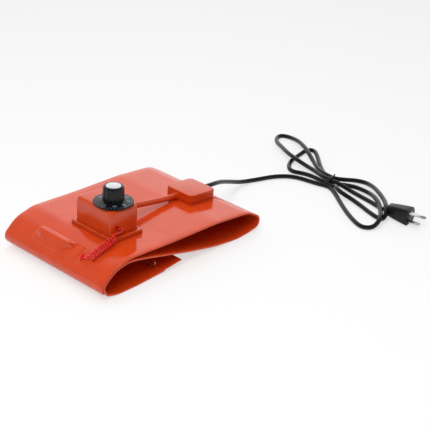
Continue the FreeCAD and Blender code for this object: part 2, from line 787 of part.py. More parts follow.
# Sleeve with two link wires, from the thermostat to the junction box
sleeve_inside = 2.0
sleeve_start = Vector(
    size("cover_width") / 2 - size("cover_wall") - sleeve_inside, sleeve_local_y, size("sleeve_rise")
)
sleeve_finish = Vector(
    -size("junction_width") / 2 + size("junction_wall") + sleeve_inside, sleeve_end_y, sleeve_end_rise
)


def sleeve_route(aside=0.0):
    """Route of the sleeve, or of a wire that lies beside its axis."""
    shift = Vector(0, aside, 0)
    start = housing_place.multVec(sleeve_start + shift)
    lead_out = housing_place.multVec(sleeve_start + shift + Vector(20, 0, 0))
    sag_high = housing_place.multVec(sleeve_start + shift + Vector(46, 0, -3.6))
    sag_low = junction_place.multVec(sleeve_finish + shift - Vector(34, 0, -0.4))
    lead_in = junction_place.multVec(sleeve_finish + shift - Vector(16, 0, 0))
    finish = junction_place.multVec(sleeve_finish + shift)
    return [start, lead_out, sag_high, sag_low, lead_in, finish]


sleeve_path, sleeve_radii = smooth_path(sleeve_route())
sleeve_bore = size("sleeve_diameter") - 2 * size("sleeve_wall")
solid_object("link_sleeve", tube(sleeve_path, size("sleeve_diameter")).cut(tube(sleeve_path, sleeve_bore)))
print("sleeve radii", [round(radius) for radius in sleeve_radii])

# Crimped splices in the junction box: live, load and the band's own lead
splice_rise = size("junction_floor") + size("splice_diameter") / 2 + 0.05
splice_pitch = size("splice_diameter") + 1.6
splice_start = -3.0
splice_end = splice_start + size("splice_length")
splice_rows = [sleeve_end_y + (order - 0.5) * splice_pitch for order in (1, 0, -1)]
splice_shapes = [
    Part.makeCylinder(
        size("splice_diameter") / 2,
        size("splice_length"),
        Vector(splice_start, row, splice_rise),
        Vector(1, 0, 0),
    )
    for row in splice_rows
]
solid_object("wire_splices", Part.makeCompound(splice_shapes), junction_place)

# The link wires, from the thermostat's tabs through the sleeve to two splices
wire_aside = size("wire_diameter") / 2 + 0.15
wire_tail = 3.0
for name, side, row in (("link_wire_live", 1, splice_rows[0]), ("link_wire_load", -1, splice_rows[1])):
    aside = side * wire_aside
    wire_start = housing_place.multVec(sleeve_start + Vector(-wire_tail, aside, 0))
    wire_turn = junction_place.multVec(sleeve_finish + Vector(3.5, aside, -0.4))
    wire_level = junction_place.multVec(Vector(splice_start - 5.0, row, splice_rise))
    wire_end = junction_place.multVec(Vector(splice_start, row, splice_rise))
    wire_route = [wire_start] + sleeve_route(aside)[1:-1] + [wire_turn, wire_level, wire_end]
    wire_path, wire_radii = smooth_path(wire_route)
    solid_object(name, tube(wire_path, size("wire_diameter")))

# The crimp ring on the cord and the cord's three cores, inside the junction box
cord_radius = size("cord_diameter") / 2
ring_x = size("junction_width") / 2 - size("junction_wall") - size("ferrule_length")
ring_foot = Vector(ring_x, 0, size("cord_rise"))
ring = Part.makeCylinder(size("ferrule_diameter") / 2, size("ferrule_length"), ring_foot, Vector(1, 0, 0))
ring_bore = Part.makeCylinder(
    cord_radius + size("fit_gap") / 2, size("ferrule_length"), ring_foot, Vector(1, 0, 0)
)
solid_object("cord_ferrule", ring.cut(ring_bore), junction_place)
core_shapes = []
for order, row in zip((1, 0, -1), splice_rows):
    core_start = Vector(ring_x, order * 1.9, size("cord_rise"))
    core_end = Vector(splice_end, row, splice_rise)
    core_run = core_end - core_start
    core_slant = core_run.getAngle(Vector(-1, 0, 0))
    core_gap = size("wire_diameter") / 2 * math.tan(core_slant) + 0.1
    core_way = Vector(core_run).normalize()
    core_shapes.append(
        Part.makeCylinder(
            size("wire_diameter") / 2,
            core_run.Length - 2 * core_gap,
            core_start + core_way * core_gap,
            core_way,
        )
    )
solid_object("cord_wires", Part.makeCompound(core_shapes), junction_place)

# Power cord from the crimp ring to the tied hank, points chosen along the photographed lie
cord_floor = cord_radius
cord_start = junction_place.multVec(Vector(ring_x, 0, size("cord_rise")))
cord_lead = junction_place.multVec(Vector(size("junction_width") / 2 + 12, 0, size("cord_rise")))
CORD_POINTS = [
    cord_start,
    cord_lead,
    Vector(143.0, -11.5, 37.6),
    Vector(161.0, -4.5, 30.6),
    Vector(178.0, 1.5, 22.0),
    Vector(195.0, 6.5, 13.0),
    Vector(211.0, 9.0, 6.8),
    Vector(227.0, 8.5, 3.9),
    Vector(244.0, 4.5, cord_floor),
    Vector(261.0, -2.0, cord_floor),
    Vector(275.0, -10.5, cord_floor),
    Vector(285.5, -22.0, cord_floor),
    Vector(291.0, -37.0, cord_floor),
    Vector(293.5, -54.0, cord_floor),
    Vector(297.0, -71.0, cord_floor),
]
cord_path, cord_radii = smooth_path(CORD_POINTS)
cord_tube = tube(cord_path, size("cord_diameter"))
solid_object("power_cord", cord_tube)
section = math.pi * cord_radius ** 2
print("cord radii", [round(radius) for radius in cord_radii])
print(f"cord volume over section times length {cord_tube.Volume / (section * cord_path.Length):.4f}")

# Hank: one plain solid round each of its two lobes and the neck between them
LEFT_LOBE = [
    (296, -78), (304, -45), (301, -30), (296, -17), (298, -4), (306, 9), (320, 18), (327, 33),
    (343, 60), (359, 84), (375, 94), (388, 90), (394, 74), (389, 50), (376, 28), (381, 18),
    (378, 5), (366, -10), (350, -32), (335, -52), (332, -78),
]
LEFT_EYE = [(341, 30), (352, 50), (366, 70), (376, 78), (379, 66), (372, 50), (360, 30)]
LEFT_LOW_EYE = [(311, -16), (308, -8), (316, -1), (325, 2), (323, -14), (317, -30)]
RIGHT_LOBE = [
    (296, -78), (286, -101), (270, -126), (256, -148), (244, -169), (236, -190), (238, -205),
    (248, -213), (265, -213), (284, -208), (298, -200), (314, -181), (328, -161), (345, -135),
    (353, -113), (348, -96), (336, -83), (332, -78),
]
RIGHT_EYE = [(262, -152), (250, -172), (244, -190), (248, -202), (262, -202), (272, -192), (276, -172), (284, -150)]
RIGHT_HIGH_EYE = [(328, -122), (324, -143), (318, -154), (330, -143), (341, -125), (342, -112), (333, -100)]
hank_height = 2 * size("cord_diameter") + 0.4
lobe_height = 3 * size("cord_diameter") + 0.6


def slab(outline, height):
    corners = [Vector(x, y, 0) for x, y in outline]
    wire = Part.makePolygon(corners + [corners[0]])
    return Part.Face(wire).extrude(Vector(0, 0, height))


left_lobe = slab(LEFT_LOBE, hank_height).cut(slab(LEFT_EYE, hank_height)).cut(slab(LEFT_LOW_EYE, hank_height))
right_lobe = slab(RIGHT_LOBE, lobe_height).cut(slab(RIGHT_EYE, lobe_height)).cut(slab(RIGHT_HIGH_EYE, lobe_height))
solid_object("cord_hank", left_lobe.fuse(right_lobe).removeSplitter())

# Tie round the neck of the hank
tie_wire = 1.6
neck_x = (296 + 332) / 2
tie_ring = Part.makeBox(42 + 2 * tie_wire, 6.0, lobe_height + tie_wire)
tie_ring.translate(Vector(neck_x - 21 - tie_wire, -81.0, 0))
tie_hole = Part.makeBox(42, 6.0, lobe_height)
tie_hole.translate(Vector(neck_x - 21, -81.0, 0))
tie_ring = tie_ring.cut(tie_hole)
solid_object("cord_tie", tie_ring)

# Plug, lying on its side: two blades one above the other and the earth pin behind
plug_heading = -81.0
plug_turn = Rotation(Vector(0, 0, 1), plug_heading)
plug_axis_height = size("plug_face_height") / 2
plug_face = Vector(299.5, -233.0, plug_axis_height)
plug_place = Placement(plug_face, plug_turn)


def plug_section(reach, height, depth, round_near, round_far):
    """One section of the plug body across its axis: blades' side near, earth side far."""
    near = -depth / 2
    far = depth / 2
    top = height / 2
    points = [
        (near, -top + round_near), (near, top - round_near), (near + round_near, top),
        (far - round_far, top), (far, top - round_far), (far, -top + round_far),
        (far - round_far, -top), (near + round_near, -top),
    ]
    corners = [Vector(reach, y, z) for y, z in points]
    return Part.makePolygon(corners + [corners[0]])


plug_sections = [
    plug_section(0, size("plug_face_height"), size("plug_face_depth"), 2.5, 7.5),
    plug_section(-size("plug_length") * 0.45, 20.0, 19.5, 3.0, 6.5),
    plug_section(-size("plug_length"), size("plug_neck"), size("plug_neck"), 3.5, 5.0),
]
plug_solid = Part.makeLoft(plug_sections, True, True)
solid_object("plug_body", plug_solid, plug_place)
blade_row = -size("plug_face_depth") / 2 + 5.2
for name, side in (("plug_blade_lower", -1), ("plug_blade_upper", 1)):
    primitive(
        "Part::Box",
        name,
        {"Length": "Sizes.blade_length", "Width": "Sizes.blade_width", "Height": "Sizes.blade_thickness"},
        plug_place.multiply(
            Placement(
                Vector(
                    0,
                    blade_row - size("blade_width") / 2,
                    side * size("blade_spacing") / 2 - size("blade_thickness") / 2,
                ),
                Rotation(),
            )
        ),
    )
primitive(
    "Part::Cylinder",
    "plug_earth_pin",
    {"Radius": "Sizes.pin_diameter / 2", "Height": "Sizes.pin_length"},
    plug_place.multiply(
        Placement(Vector(0, blade_row + size("pin_offset"), 0), Rotation(Vector(0, 1, 0), 90))
    ),
)


# Sensor patch: a strip that hugs the shoulder of the left fold, with a ridge over the bulb
def along_run(runs, distance):
    """Point and direction at a distance along the runs."""
    for run in runs:
        length = run_length(run)
        if distance <= length:
            share = distance / length
            if run[0] == "line":
                way = unit(run[1], run[2])
                point = (
                    run[1][0] + (run[2][0] - run[1][0]) * share,
                    run[1][1] + (run[2][1] - run[1][1]) * share,
                )
                return point, way
            kind, start, end, centre, side = run
            angle = sweep_of(run) * share
            arm = (start[0] - centre[0], start[1] - centre[1])
            arm = (
                arm[0] * math.cos(angle) - arm[1] * math.sin(angle),
                arm[0] * math.sin(angle) + arm[1] * math.cos(angle),
            )
            reach = math.hypot(*arm)
            return add(centre, arm), (-side * arm[1] / reach, side * arm[0] / reach)
        distance -= length
    raise ValueError("past the end of the runs")


def piece_of(runs, start, finish):
    """The runs between two distances."""
    result = []
    passed = 0.0
    for run in runs:
        length = run_length(run)
        low = max(start - passed, 0.0)
        high = min(finish - passed, length)
        if high > low + 1e-6:
            first, way = along_run([run], low)
            last, way = along_run([run], high)
            if run[0] == "line":
                result.append(("line", first, last))
            else:
                result.append(("arc", first, last, run[3], run[4]))
        passed += length
    return result


outer_face = shifted(centreline, half)


def distance_at_x(runs, x):
    """Distance along the runs where the outer end's fold first passes an x."""
    passed = 0.0
    step_length = 0.25
    point, way = along_run(runs, passed)
    while not (point[0] >= x and way[0] > 0.2):
        passed += step_length
        point, way = along_run(runs, passed)
    return passed


def hugging_pad(from_x, to_x, pad_height, across_from, across_to):
    """A strip of silicone lying on the outer face."""
    first = distance_at_x(outer_face, from_x)
    last = distance_at_x(outer_face, to_x)
    run = piece_of(outer_face, first, last)
    outline = closed(shifted(run, pad_height), run)
    edges = []
    for item in outline:
        a = Vector(item[1][0], 0, item[1][1])
        b = Vector(item[2][0], 0, item[2][1])
        if item[0] == "line":
            edges.append(Part.LineSegment(a, b).toShape())
        else:
            angle = sweep_of(item) / 2
            arm = (item[1][0] - item[3][0], item[1][1] - item[3][1])
            middle = (
                item[3][0] + arm[0] * math.cos(angle) - arm[1] * math.sin(angle),
                item[3][1] + arm[0] * math.sin(angle) + arm[1] * math.cos(angle),
            )
            edges.append(Part.Arc(a, Vector(middle[0], 0, middle[1]), b).toShape())
    strip_face = Part.Face(Part.Wire(edges))
    strip_solid = strip_face.extrude(Vector(0, across_to - across_from, 0))
    strip_solid.translate(Vector(0, across_from, 0))
    return strip_solid, last


patch_from = size("patch_middle") - size("patch_length") / 2
patch_to = size("patch_middle") + size("patch_length") / 2
patch_solid, patch_edge = hugging_pad(
    left + 8.0, left + 26.0, size("patch_thickness"), patch_from, patch_to
)
bulb_radius = size("bulb_diameter") / 2
bulb_point, bulb_way = along_run(outer_face, distance_at_x(outer_face, left + 21.0))
bulb_out = (-bulb_way[1], bulb_way[0])
bulb_rise = bulb_radius + 0.1
bulb_centre = Vector(
    bulb_point[0] + bulb_out[0] * bulb_rise, 0, bulb_point[1] + bulb_out[1] * bulb_rise
)
bulb_start = size("patch_middle") + 7.0 - size("bulb_length") / 2
ridge_margin = 3.0
ridge = Part.makeCylinder(
    bulb_radius + size("patch_thickness"),
    size("bulb_length") + 2 * ridge_margin,
    Vector(bulb_centre.x, bulb_start - ridge_margin, bulb_centre.z),
    Vector(0, 1, 0),
)
bulb_room = Part.makeCylinder(
    bulb_radius,
    size("bulb_length"),
    Vector(bulb_centre.x, bulb_start, bulb_centre.z),
    Vector(0, 1, 0),
)
band_shape = band.Shape
sensor_patch = patch_solid.fuse(ridge).cut(bulb_room).cut(band_shape).removeSplitter()
sensor_patch = max(sensor_patch.Solids, key=lambda item: item.Volume)
solid_object("sensor_patch", sensor_patch)
solid_object("sensor_bulb", bulb_room.copy())

# Capillary from the bulb, laid inside the band, up to the capsule under the switch block
capsule_foot = in_housing(knob_x, knob_y + 6.0, block_low - size("capsule_height")).Base
capillary_row = capsule_foot.y


def inside_band(x):
    """The middle of the band's thickness under an x on the outer face."""
    point, way = along_run(outer_face, distance_at_x(outer_face, x))
    return Vector(point[0] + way[1] * half, capillary_row, point[1] - way[0] * half)


capillary_path, capillary_radii = smooth_path(
    [
        Vector(bulb_centre.x, bulb_start, bulb_centre.z),
        Vector(bulb_centre.x, bulb_start - 3.0, bulb_centre.z - 0.2),
        inside_band(left + 28.0),
        inside_band(left + 39.0),
        inside_band(left + 50.0),
        inside_band(left + 62.0),
        inside_band(left + 74.0),
        capsule_foot - Vector(1.0, 0, 10.0),
        capsule_foot,
    ]
)
solid_object("capillary_tube", tube(capillary_path, size("capillary_diameter")))

# Eye for the spring: a wire staple whose feet are bonded under a silicone pad
hook_wire = size("hook_wire")
eye_y = -45.5
pad_solid, pad_edge = hugging_pad(
    left + 8.0, left + 21.0, size("pad_thickness"), eye_y - 11.0, eye_y - 11.0 + size("pad_length")
)
eye_point, eye_way = along_run(outer_face, distance_at_x(outer_face, left + 15.5))
eye_turn = Rotation(Vector(0, 1, 0), -math.degrees(math.atan2(eye_way[1], eye_way[0])))
eye_place = Placement(Vector(eye_point[0], eye_y, eye_point[1]), eye_turn)
eye_half = 3.2
eye_height = 5.1
eye_bend = 2.4
eye_path, eye_radii = smooth_path(
    [
        Vector(-eye_half, 0, 0),
        Vector(-eye_half, 0, eye_height),
        Vector(eye_half, 0, eye_height),
        Vector(eye_half, 0, 0),
    ],
    [eye_bend, eye_bend],
)
eye_shape = tube(eye_path, hook_wire)
eye_shape.Placement = eye_place
solid_object("spring_eye", eye_shape)
pad_solid = pad_solid.cut(eye_shape)
solid_object("eye_pad", pad_solid)

# Extension spring parked between the eye and the hole in the cover
# Its close-wound coil is a plain round tube of the coil's inside and outside
spring_wire = size("spring_wire")
coil_radius = size("spring_diameter") / 2
hook_offset = coil_radius - spring_wire / 2 - 0.15
coil_low = Vector(left + 15.5, -60.2, 41.5)
coil_high = Vector(left + 55.7, -62.5, 55.0)
coil_axis = coil_high - coil_low
coil_length = coil_axis.Length
coil_axis.normalize()
coil_outer = Part.makeCylinder(coil_radius, coil_length, coil_low, coil_axis)
coil_inner = Part.makeCylinder(coil_radius - spring_wire - 0.3, coil_length, coil_low, coil_axis)


def from_axis(direction):
    """A unit vector square to the coil's axis, nearest to a direction."""
    square = direction - coil_axis * direction.dot(coil_axis)
    return square.normalize()


low_start = coil_low + from_axis(Vector(0, 1, 0)) * hook_offset
low_path, low_radii = smooth_path(
    [
        low_start + coil_axis * 0.8,
        low_start - coil_axis * 2.6,
        eye_place.multVec(Vector(0.6, -3.3, 3.9)),
        eye_place.multVec(Vector(0.5, 2.5, 2.35)),
        eye_place.multVec(Vector(5.6, 3.3, 2.7)),
    ]
)
high_start = coil_high + from_axis(Vector(0, 0.75, 0.66)) * hook_offset
hole_mouth = in_housing(size("hook_hole_x"), -size("cover_length") / 2, size("hook_hole_height")).Base
high_path, high_radii = smooth_path(
    [
        high_start - coil_axis * 0.8,
        high_start + coil_axis * 2.6,
        hole_mouth + Vector(3.4, -3.3, -5.2),
        hole_mouth + Vector(7.2, -3.1, -3.2),
        hole_mouth + Vector(5.0, -2.3, -0.2),
        hole_mouth + Vector(0.2, -1.4, 0.1),
        hole_mouth + Vector(-0.1, 4.5, 0.0),
    ]
)
print("spring hook radii", [round(radius, 1) for radius in low_radii + high_radii])
coil = coil_outer.cut(coil_inner)
spring_shape = coil.fuse([tube(low_path, spring_wire), tube(high_path, spring_wire)])
solid_object("spring", spring_shape)

# Hook at the inner end of the band, lying on the bottom layer, its foot under a pad
bottom_top = along_run(outer_face, sum(run_length(run) for run in outer_face) - size("flap_length") - 6.0)
hook_place_point, hook_way = bottom_top
hook_turn = Rotation(Vector(0, 1, 0), -math.degrees(math.atan2(hook_way[1], hook_way[0])))
hook_y = 43.0 - size("band_width") / 2
hook_place = Placement(Vector(hook_place_point[0], hook_y, hook_place_point[1]), hook_turn)
hook_path, hook_radii = smooth_path(
    [
        Vector(-6, 5, hook_wire / 2 + 0.05),
        Vector(0, 2, hook_wire / 2 + 0.05),
        Vector(0, -22, hook_wire / 2 + 0.05),
        Vector(3, -29, hook_wire / 2 + 0.8),
        Vector(3.5, -29, hook_wire / 2 + 6.5),
        Vector(3.2, -23, hook_wire / 2 + 6.5),
    ],
    [3.0, 4.0, 2.4, 2.4],
)
hook_shape = tube(hook_path, hook_wire)
hook_shape.Placement = hook_place
solid_object("end_hook", hook_shape)
hook_pad = Part.makeBox(16.0, 12.0, hook_wire + 1.8, Vector(-14.0, -2.0, -0.3))
hook_pad.Placement = hook_place
hook_pad = hook_pad.cut(band.Shape).cut(hook_shape)
hook_pad = max(hook_pad.Solids, key=lambda item: item.Volume)
solid_object("hook_pad", hook_pad)

# Finished band
solid_object("heater_blanket", band.Shape)

# Checks, then one STEP file for each piece
doc.recompute()
HELPERS = ("block_", "band_strip")
sub_parts = []
for item in doc.Objects:
    state = list(item.State)
    if "Invalid" in state or "Error" in state:
        raise ValueError(f"{item.Name} is {state}")
    if item.isDerivedFrom("Part::Feature") or item.TypeId == "PartDesign::Body":
        in_body = item.getParentGeoFeatureGroup() is not None
        helper = item.Name.startswith(HELPERS) or "_cut_" in item.Name
        if not in_body and not helper and item.TypeId != "Sketcher::SketchObject":
            sub_parts.append(item)
for item in sub_parts:
    shape = item.Shape
    if shape.isNull() or not shape.isValid():
        raise ValueError(f"{item.Label} has no valid shape")
    shape.exportStep(f"parts/{item.Label}.step")
    box = shape.BoundBox
    print(
        f"{item.Label:20s} solids {len(shape.Solids)} volume {shape.Volume:9.1f}"
        f"  x {box.XMin:7.1f} {box.XMax:7.1f}  y {box.YMin:7.1f} {box.YMax:7.1f}  z {box.ZMin:6.2f} {box.ZMax:6.2f}"
    )
print(f"{len(sub_parts)} pieces")
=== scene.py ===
# %% [markdown]
# # Drum heater blanket, folded for the shelf
# A drum heater is a wide strip of silicone rubber with a heating wire moulded inside.
# It wraps round a drum and a spring pulls its two ends together.
# Here the strip is folded up loosely, the way it comes out of its box.
# We load the measured frame first, then make every soft or rounded piece around it.

# %% Start and load the frame
import math

import bmesh
import bpy
from mathutils import Matrix, Vector


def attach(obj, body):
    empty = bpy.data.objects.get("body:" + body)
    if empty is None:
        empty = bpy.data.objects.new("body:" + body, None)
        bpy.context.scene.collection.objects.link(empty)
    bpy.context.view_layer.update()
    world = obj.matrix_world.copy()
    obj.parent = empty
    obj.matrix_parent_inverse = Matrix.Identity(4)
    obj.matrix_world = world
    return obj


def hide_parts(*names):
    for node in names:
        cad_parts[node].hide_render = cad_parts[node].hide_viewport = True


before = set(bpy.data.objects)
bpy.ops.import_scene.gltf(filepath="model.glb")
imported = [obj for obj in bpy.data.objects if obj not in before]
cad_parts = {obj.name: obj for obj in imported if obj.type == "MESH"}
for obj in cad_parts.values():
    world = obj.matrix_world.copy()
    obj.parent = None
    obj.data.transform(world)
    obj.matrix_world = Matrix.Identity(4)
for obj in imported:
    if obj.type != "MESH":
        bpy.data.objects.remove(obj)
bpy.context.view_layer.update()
MM = 0.001


# %% [markdown]
# The whole part is described in millimetres, and Blender counts in metres.
# So one small helper turns millimetres into a Blender vector.
# A second one makes a mesh object from points and faces, which is all that most pieces need.
# Smooth shading with a sharp-edge angle keeps flat moulded faces flat and round ones round.


# %% Helpers for points and meshes
def mm(x, y, z):
    return Vector((x, y, z)) * MM


def new_object(name, data):
    """An object at the origin, linked to the scene."""
    made = bpy.data.objects.new(name, data)
    bpy.context.scene.collection.objects.link(made)
    return made


def shade(shape, smooth_angle=35.0):
    """Shade smooth, with sharp edges where faces meet at more than an angle."""
    shape.data.shade_smooth()
    shape.data.set_sharp_from_angle(angle=math.radians(smooth_angle))


def new_mesh_object(name, points, faces, smooth_angle=35.0):
    """An object from points in mm and faces."""
    mesh = bpy.data.meshes.new(name)
    mesh.from_pydata([tuple(Vector(p) * MM) for p in points], [], faces)
    mesh.validate()
    shape = new_object(name, mesh)
    shade(shape, smooth_angle)
    return shape


def baked_mesh(shape):
    """The mesh that a shape has once its modifiers or its curve are applied."""
    return bpy.data.meshes.new_from_object(shape.evaluated_get(bpy.context.evaluated_depsgraph_get()))


def join_meshes(name, shapes):
    """Several mesh objects as one object; its points stay where they are."""
    points, faces = [], []
    for shape in shapes:
        first = len(points)
        points += [tuple(v.co / MM) for v in shape.data.vertices]
        faces += [[first + i for i in face.vertices] for face in shape.data.polygons]
        bpy.data.objects.remove(shape)
    return new_mesh_object(name, points, faces)


def placed(shape, matrix):
    """Move a mesh's points by a matrix in mm and leave its object at the origin."""
    moved = matrix.copy()
    moved.translation *= MM
    shape.data.transform(moved)
    return shape


def frame_matrix(base, tilt, heading=0.0):
    """A local frame: tilted down towards +X by an angle, or turned about +Z."""
    turn = Matrix.Rotation(math.radians(heading), 4, "Z") @ Matrix.Rotation(math.radians(tilt), 4, "Y")
    return Matrix.Translation(Vector(base)) @ turn


HOUSING = frame_matrix((-59.832, -16.05, 43.319), 2.9929)
JUNCTION = frame_matrix((89.733, -15.3, 36.270), 5.8875)
PLUG = frame_matrix((299.5, -233.0, 11.5), 0.0, -81.0)

# %% [markdown]
# We look from the front left and from above, through a long lens, as in a catalogue picture.
# The camera points at a spot between the folded band and the tied cord, so both fit the square.

# %% Camera
CAMERA_DISTANCE = 1.8723
LENS = 115.33
aim = mm(97.4, -56.02, 20.0)
view_way = Vector((0.61960, 0.63668, -0.45911)).normalized()
camera_data = bpy.data.cameras.new("camera")
camera = new_object("camera", camera_data)
camera.location = aim - view_way * CAMERA_DISTANCE
camera.rotation_euler = view_way.to_track_quat("-Z", "Y").to_euler()
camera_data.sensor_width = 36.0
camera_data.lens = LENS
camera_data.clip_start = 0.05
camera_data.clip_end = 30.0
bpy.context.scene.camera = camera
print("camera stands", round(camera.location.z, 3), "m above the floor")

# %% [markdown]
# The power cord is a round rubber cord, drawn as one curve from the junction box to the plug.
# The cord leaves the box, drops to the floor, and is wound into a figure of eight under a tie.
# Each list of points below is one stretch of it, in the order in which the cord runs.
# A point with no height lies on the floor.
# A smooth curve through so few points can't kink, which is how a rubber cord behaves.

# %% Route of the cord in mm
CORD_DIAMETER = 6.5
FLOOR_LIE = CORD_DIAMETER / 2
LEAD = [
    (104.9, -15.3, 42.9), (125.8, -15.3, 40.76), (143.0, -11.5, 37.6), (161.0, -4.5, 30.8),
    (178.0, 2.0, 22.8), (196.5, 8.5, 14.0), (213.0, 11.0, 7.2), (228.5, 10.0, 3.9),
    (244.0, 4.5), (261.0, -2.0), (275.0, -10.5),
    (285.5, -22.0), (291.0, -37.0), (293.5, -54.0),
    (296.6, -70.0),
]
NEAR_LOOP = [
    (299.2, -78.0), (298.0, -89.7), (288.6, -105.8), (273.1, -129.0),
    (259.3, -150.5), (247.7, -171.7), (239.8, -190.3), (239.6, -201.6),
    (247.4, -208.4), (256.0, -209.6, 6.0), (265.5, -207.3, 10.0), (280.5, -195.8, 10.0),
    (295.0, -181.9, 10.0), (307.7, -165.7, 10.0), (320.0, -145.4, 6.5), (322.4, -129.3, 6.0),
    (322.1, -115.1, 6.0), (318.9, -100.5, 5.0), (314.8, -88.0, 3.6),
]
LOW_LOOP = [
    (312.8, -78.0), (319.0, -62.0), (327.8, -49.5), (338.8, -33.1),
    (352.3, -17.2), (366.4, -1.2), (375.7, 11.3), (376.2, 21.1),
    (365.0, 23.3), (352.1, 20.8), (341.0, 18.5), (326.7, 14.6),
    (312.5, 7.4), (301.6, -3.9), (300.1, -14.9), (305.3, -25.4),
    (308.4, -41.0), (307.0, -60.0),
]
WIDE_LOOP = [
    (306.0, -78.0), (304.0, -88.0, 5.4), (298.5, -98.0, 9.4), (290.5, -108.5, 10.3),
    (289.2, -122.0, 8.0), (291.2, -134.3, 4.5), (286.3, -156.2), (279.9, -174.8),
    (275.0, -192.6), (275.5, -203.5), (282.5, -203.5, 8.0), (293.5, -194.6, 13.2),
    (307.2, -181.6, 12.0), (323.8, -158.9, 10.0), (340.6, -133.0, 6.5), (347.9, -112.6, 3.5),
    (340.7, -99.7, 5.0), (325.0, -89.6, 8.0),
]
FAR_LOOP = [
    (316.0, -78.0, 9.0), (318.4, -56.6, 9.3), (328.8, -34.1, 7.5), (343.2, -13.1, 7.5),
    (354.0, 5.1, 9.8), (366.2, 24.6, 9.8), (381.4, 52.1, 6.5), (387.5, 74.5),
    (383.5, 87.9), (373.6, 89.3), (360.1, 78.3), (347.6, 56.0, 6.5),
    (331.4, 27.0, 9.9), (325.0, 5.5, 9.9), (323.1, -17.0, 7.0), (317.1, -42.8, 7.5),
    (309.4, -62.5, 9.4),
]
PLUG_STRAND = [
    (309.4, -78.0, 8.9), (310.5, -92.0, 8.0), (311.5, -106.0, 5.2), (311.0, -118.1),
    (307.4, -142.2), (305.2, -158.0), (301.5, -172.0, 3.6), (297.6, -183.0, 5.2),
    (295.9, -190.0, 6.8), (294.2, -199.4, 11.5),
]
CORD_ROUTE = [
    place if len(place) == 3 else (*place, FLOOR_LIE)
    for place in LEAD + NEAR_LOOP + LOW_LOOP + WIDE_LOOP + FAR_LOOP + PLUG_STRAND
]

cord_curve = bpy.data.curves.new("power_cord_flex", "CURVE")
cord_curve.dimensions = "3D"
cord_line = cord_curve.splines.new("NURBS")
cord_line.points.add(len(CORD_ROUTE) - 1)
for point, place in zip(cord_line.points, CORD_ROUTE):
    point.co = (*mm(*place), 1.0)
cord_line.order_u = 3
cord_line.use_endpoint_u = True
cord_line.resolution_u = 8
cord_curve.bevel_depth = CORD_DIAMETER * MM / 2
cord_curve.bevel_resolution = 6
cord_curve.use_fill_caps = True
power_cord = new_object("power_cord_flex", cord_curve)
print("cord points", len(CORD_ROUTE))


# %% [markdown]
# Many pieces here are lofts: a stack of outlines with the same number of points, joined by faces.
# A moulding's soft edge is made by a few outlines that shrink a little as they near the edge.
# That gives a true rounded edge, which catches the light the way moulded rubber does.


# %% Outlines and lofts
def rounded_rectangle(width, length, corner, steps=8):
    """Points of a rounded rectangle in mm, anticlockwise."""
    points = []
    for index in range(4):
        side_x = (1, -1, -1, 1)[index]
        side_y = (1, 1, -1, -1)[index]
        for step in range(steps + 1):
            angle = math.radians(90 * index + 90 * step / steps)
            x = side_x * (width / 2 - corner) + corner * math.cos(angle)
            y = side_y * (length / 2 - corner) + corner * math.sin(angle)
            points.append((x, y))
    return points


def loft(name, rings, smooth_angle=35.0, endless=False):
    """Faces between rings of equal count; an endless loft joins its last ring to its first."""
    count = len(rings[0])
    points = [point for ring in rings for point in ring]
    faces = []
    for level in range(len(rings) if endless else len(rings) - 1):
        for i in range(count):
            j = (i + 1) % count
            low = level * count
            high = (level + 1) % len(rings) * count
            faces.append((low + i, low + j, high + j, high + i))
    if not endless:
        faces.append(tuple(reversed(range(count))))
        last = (len(rings) - 1) * count
        faces.append(tuple(range(last, last + count)))
    return new_mesh_object(name, points, faces, smooth_angle)


def moulded_box(name, width, length, corner, low, high, low_round, high_round, bulge=0.0, steps=5):
    """A closed moulding with rounded upright corners and soft lower and upper edges."""
    rings = []

    def ring(inset, z, swell=0.0):
        w = width - 2 * inset + 2 * swell
        l = length - 2 * inset + 2 * swell
        outline = rounded_rectangle(w, l, max(corner - inset + swell, 0.2))
        rings.append([(x, y, z) for x, y in outline])

    for step in range(steps + 1):
        angle = math.radians(90 * step / steps)
        ring(low_round * (1 - math.sin(angle)), low + low_round * (1 - math.cos(angle)))
    middle = (low + high) / 2
    ring(0.0, middle, bulge)
    for step in range(steps + 1):
        angle = math.radians(90 * step / steps)
        ring(high_round * (1 - math.cos(angle)), high - high_round * (1 - math.sin(angle)))
    return loft(name, rings, smooth_angle=40.0)


def circle_points(radius, z, sides):
    """Points of a level circle round the local Z axis."""
    turn = [2 * math.pi * i / sides for i in range(sides)]
    return [(radius * math.cos(a), radius * math.sin(a), z) for a in turn]


def lathe(name, profile, sides=96, smooth_angle=30.0):
    """Turn (radius, z) points in mm about the local Z axis, with one point where an end meets it."""
    shape = loft(name, [circle_points(radius, z, sides) for radius, z in profile])
    merging = bmesh.new()
    merging.from_mesh(shape.data)
    bmesh.ops.remove_doubles(merging, verts=merging.verts, dist=0.001 * MM)
    merging.to_mesh(shape.data)
    merging.free()
    shade(shape, smooth_angle)
    return shape


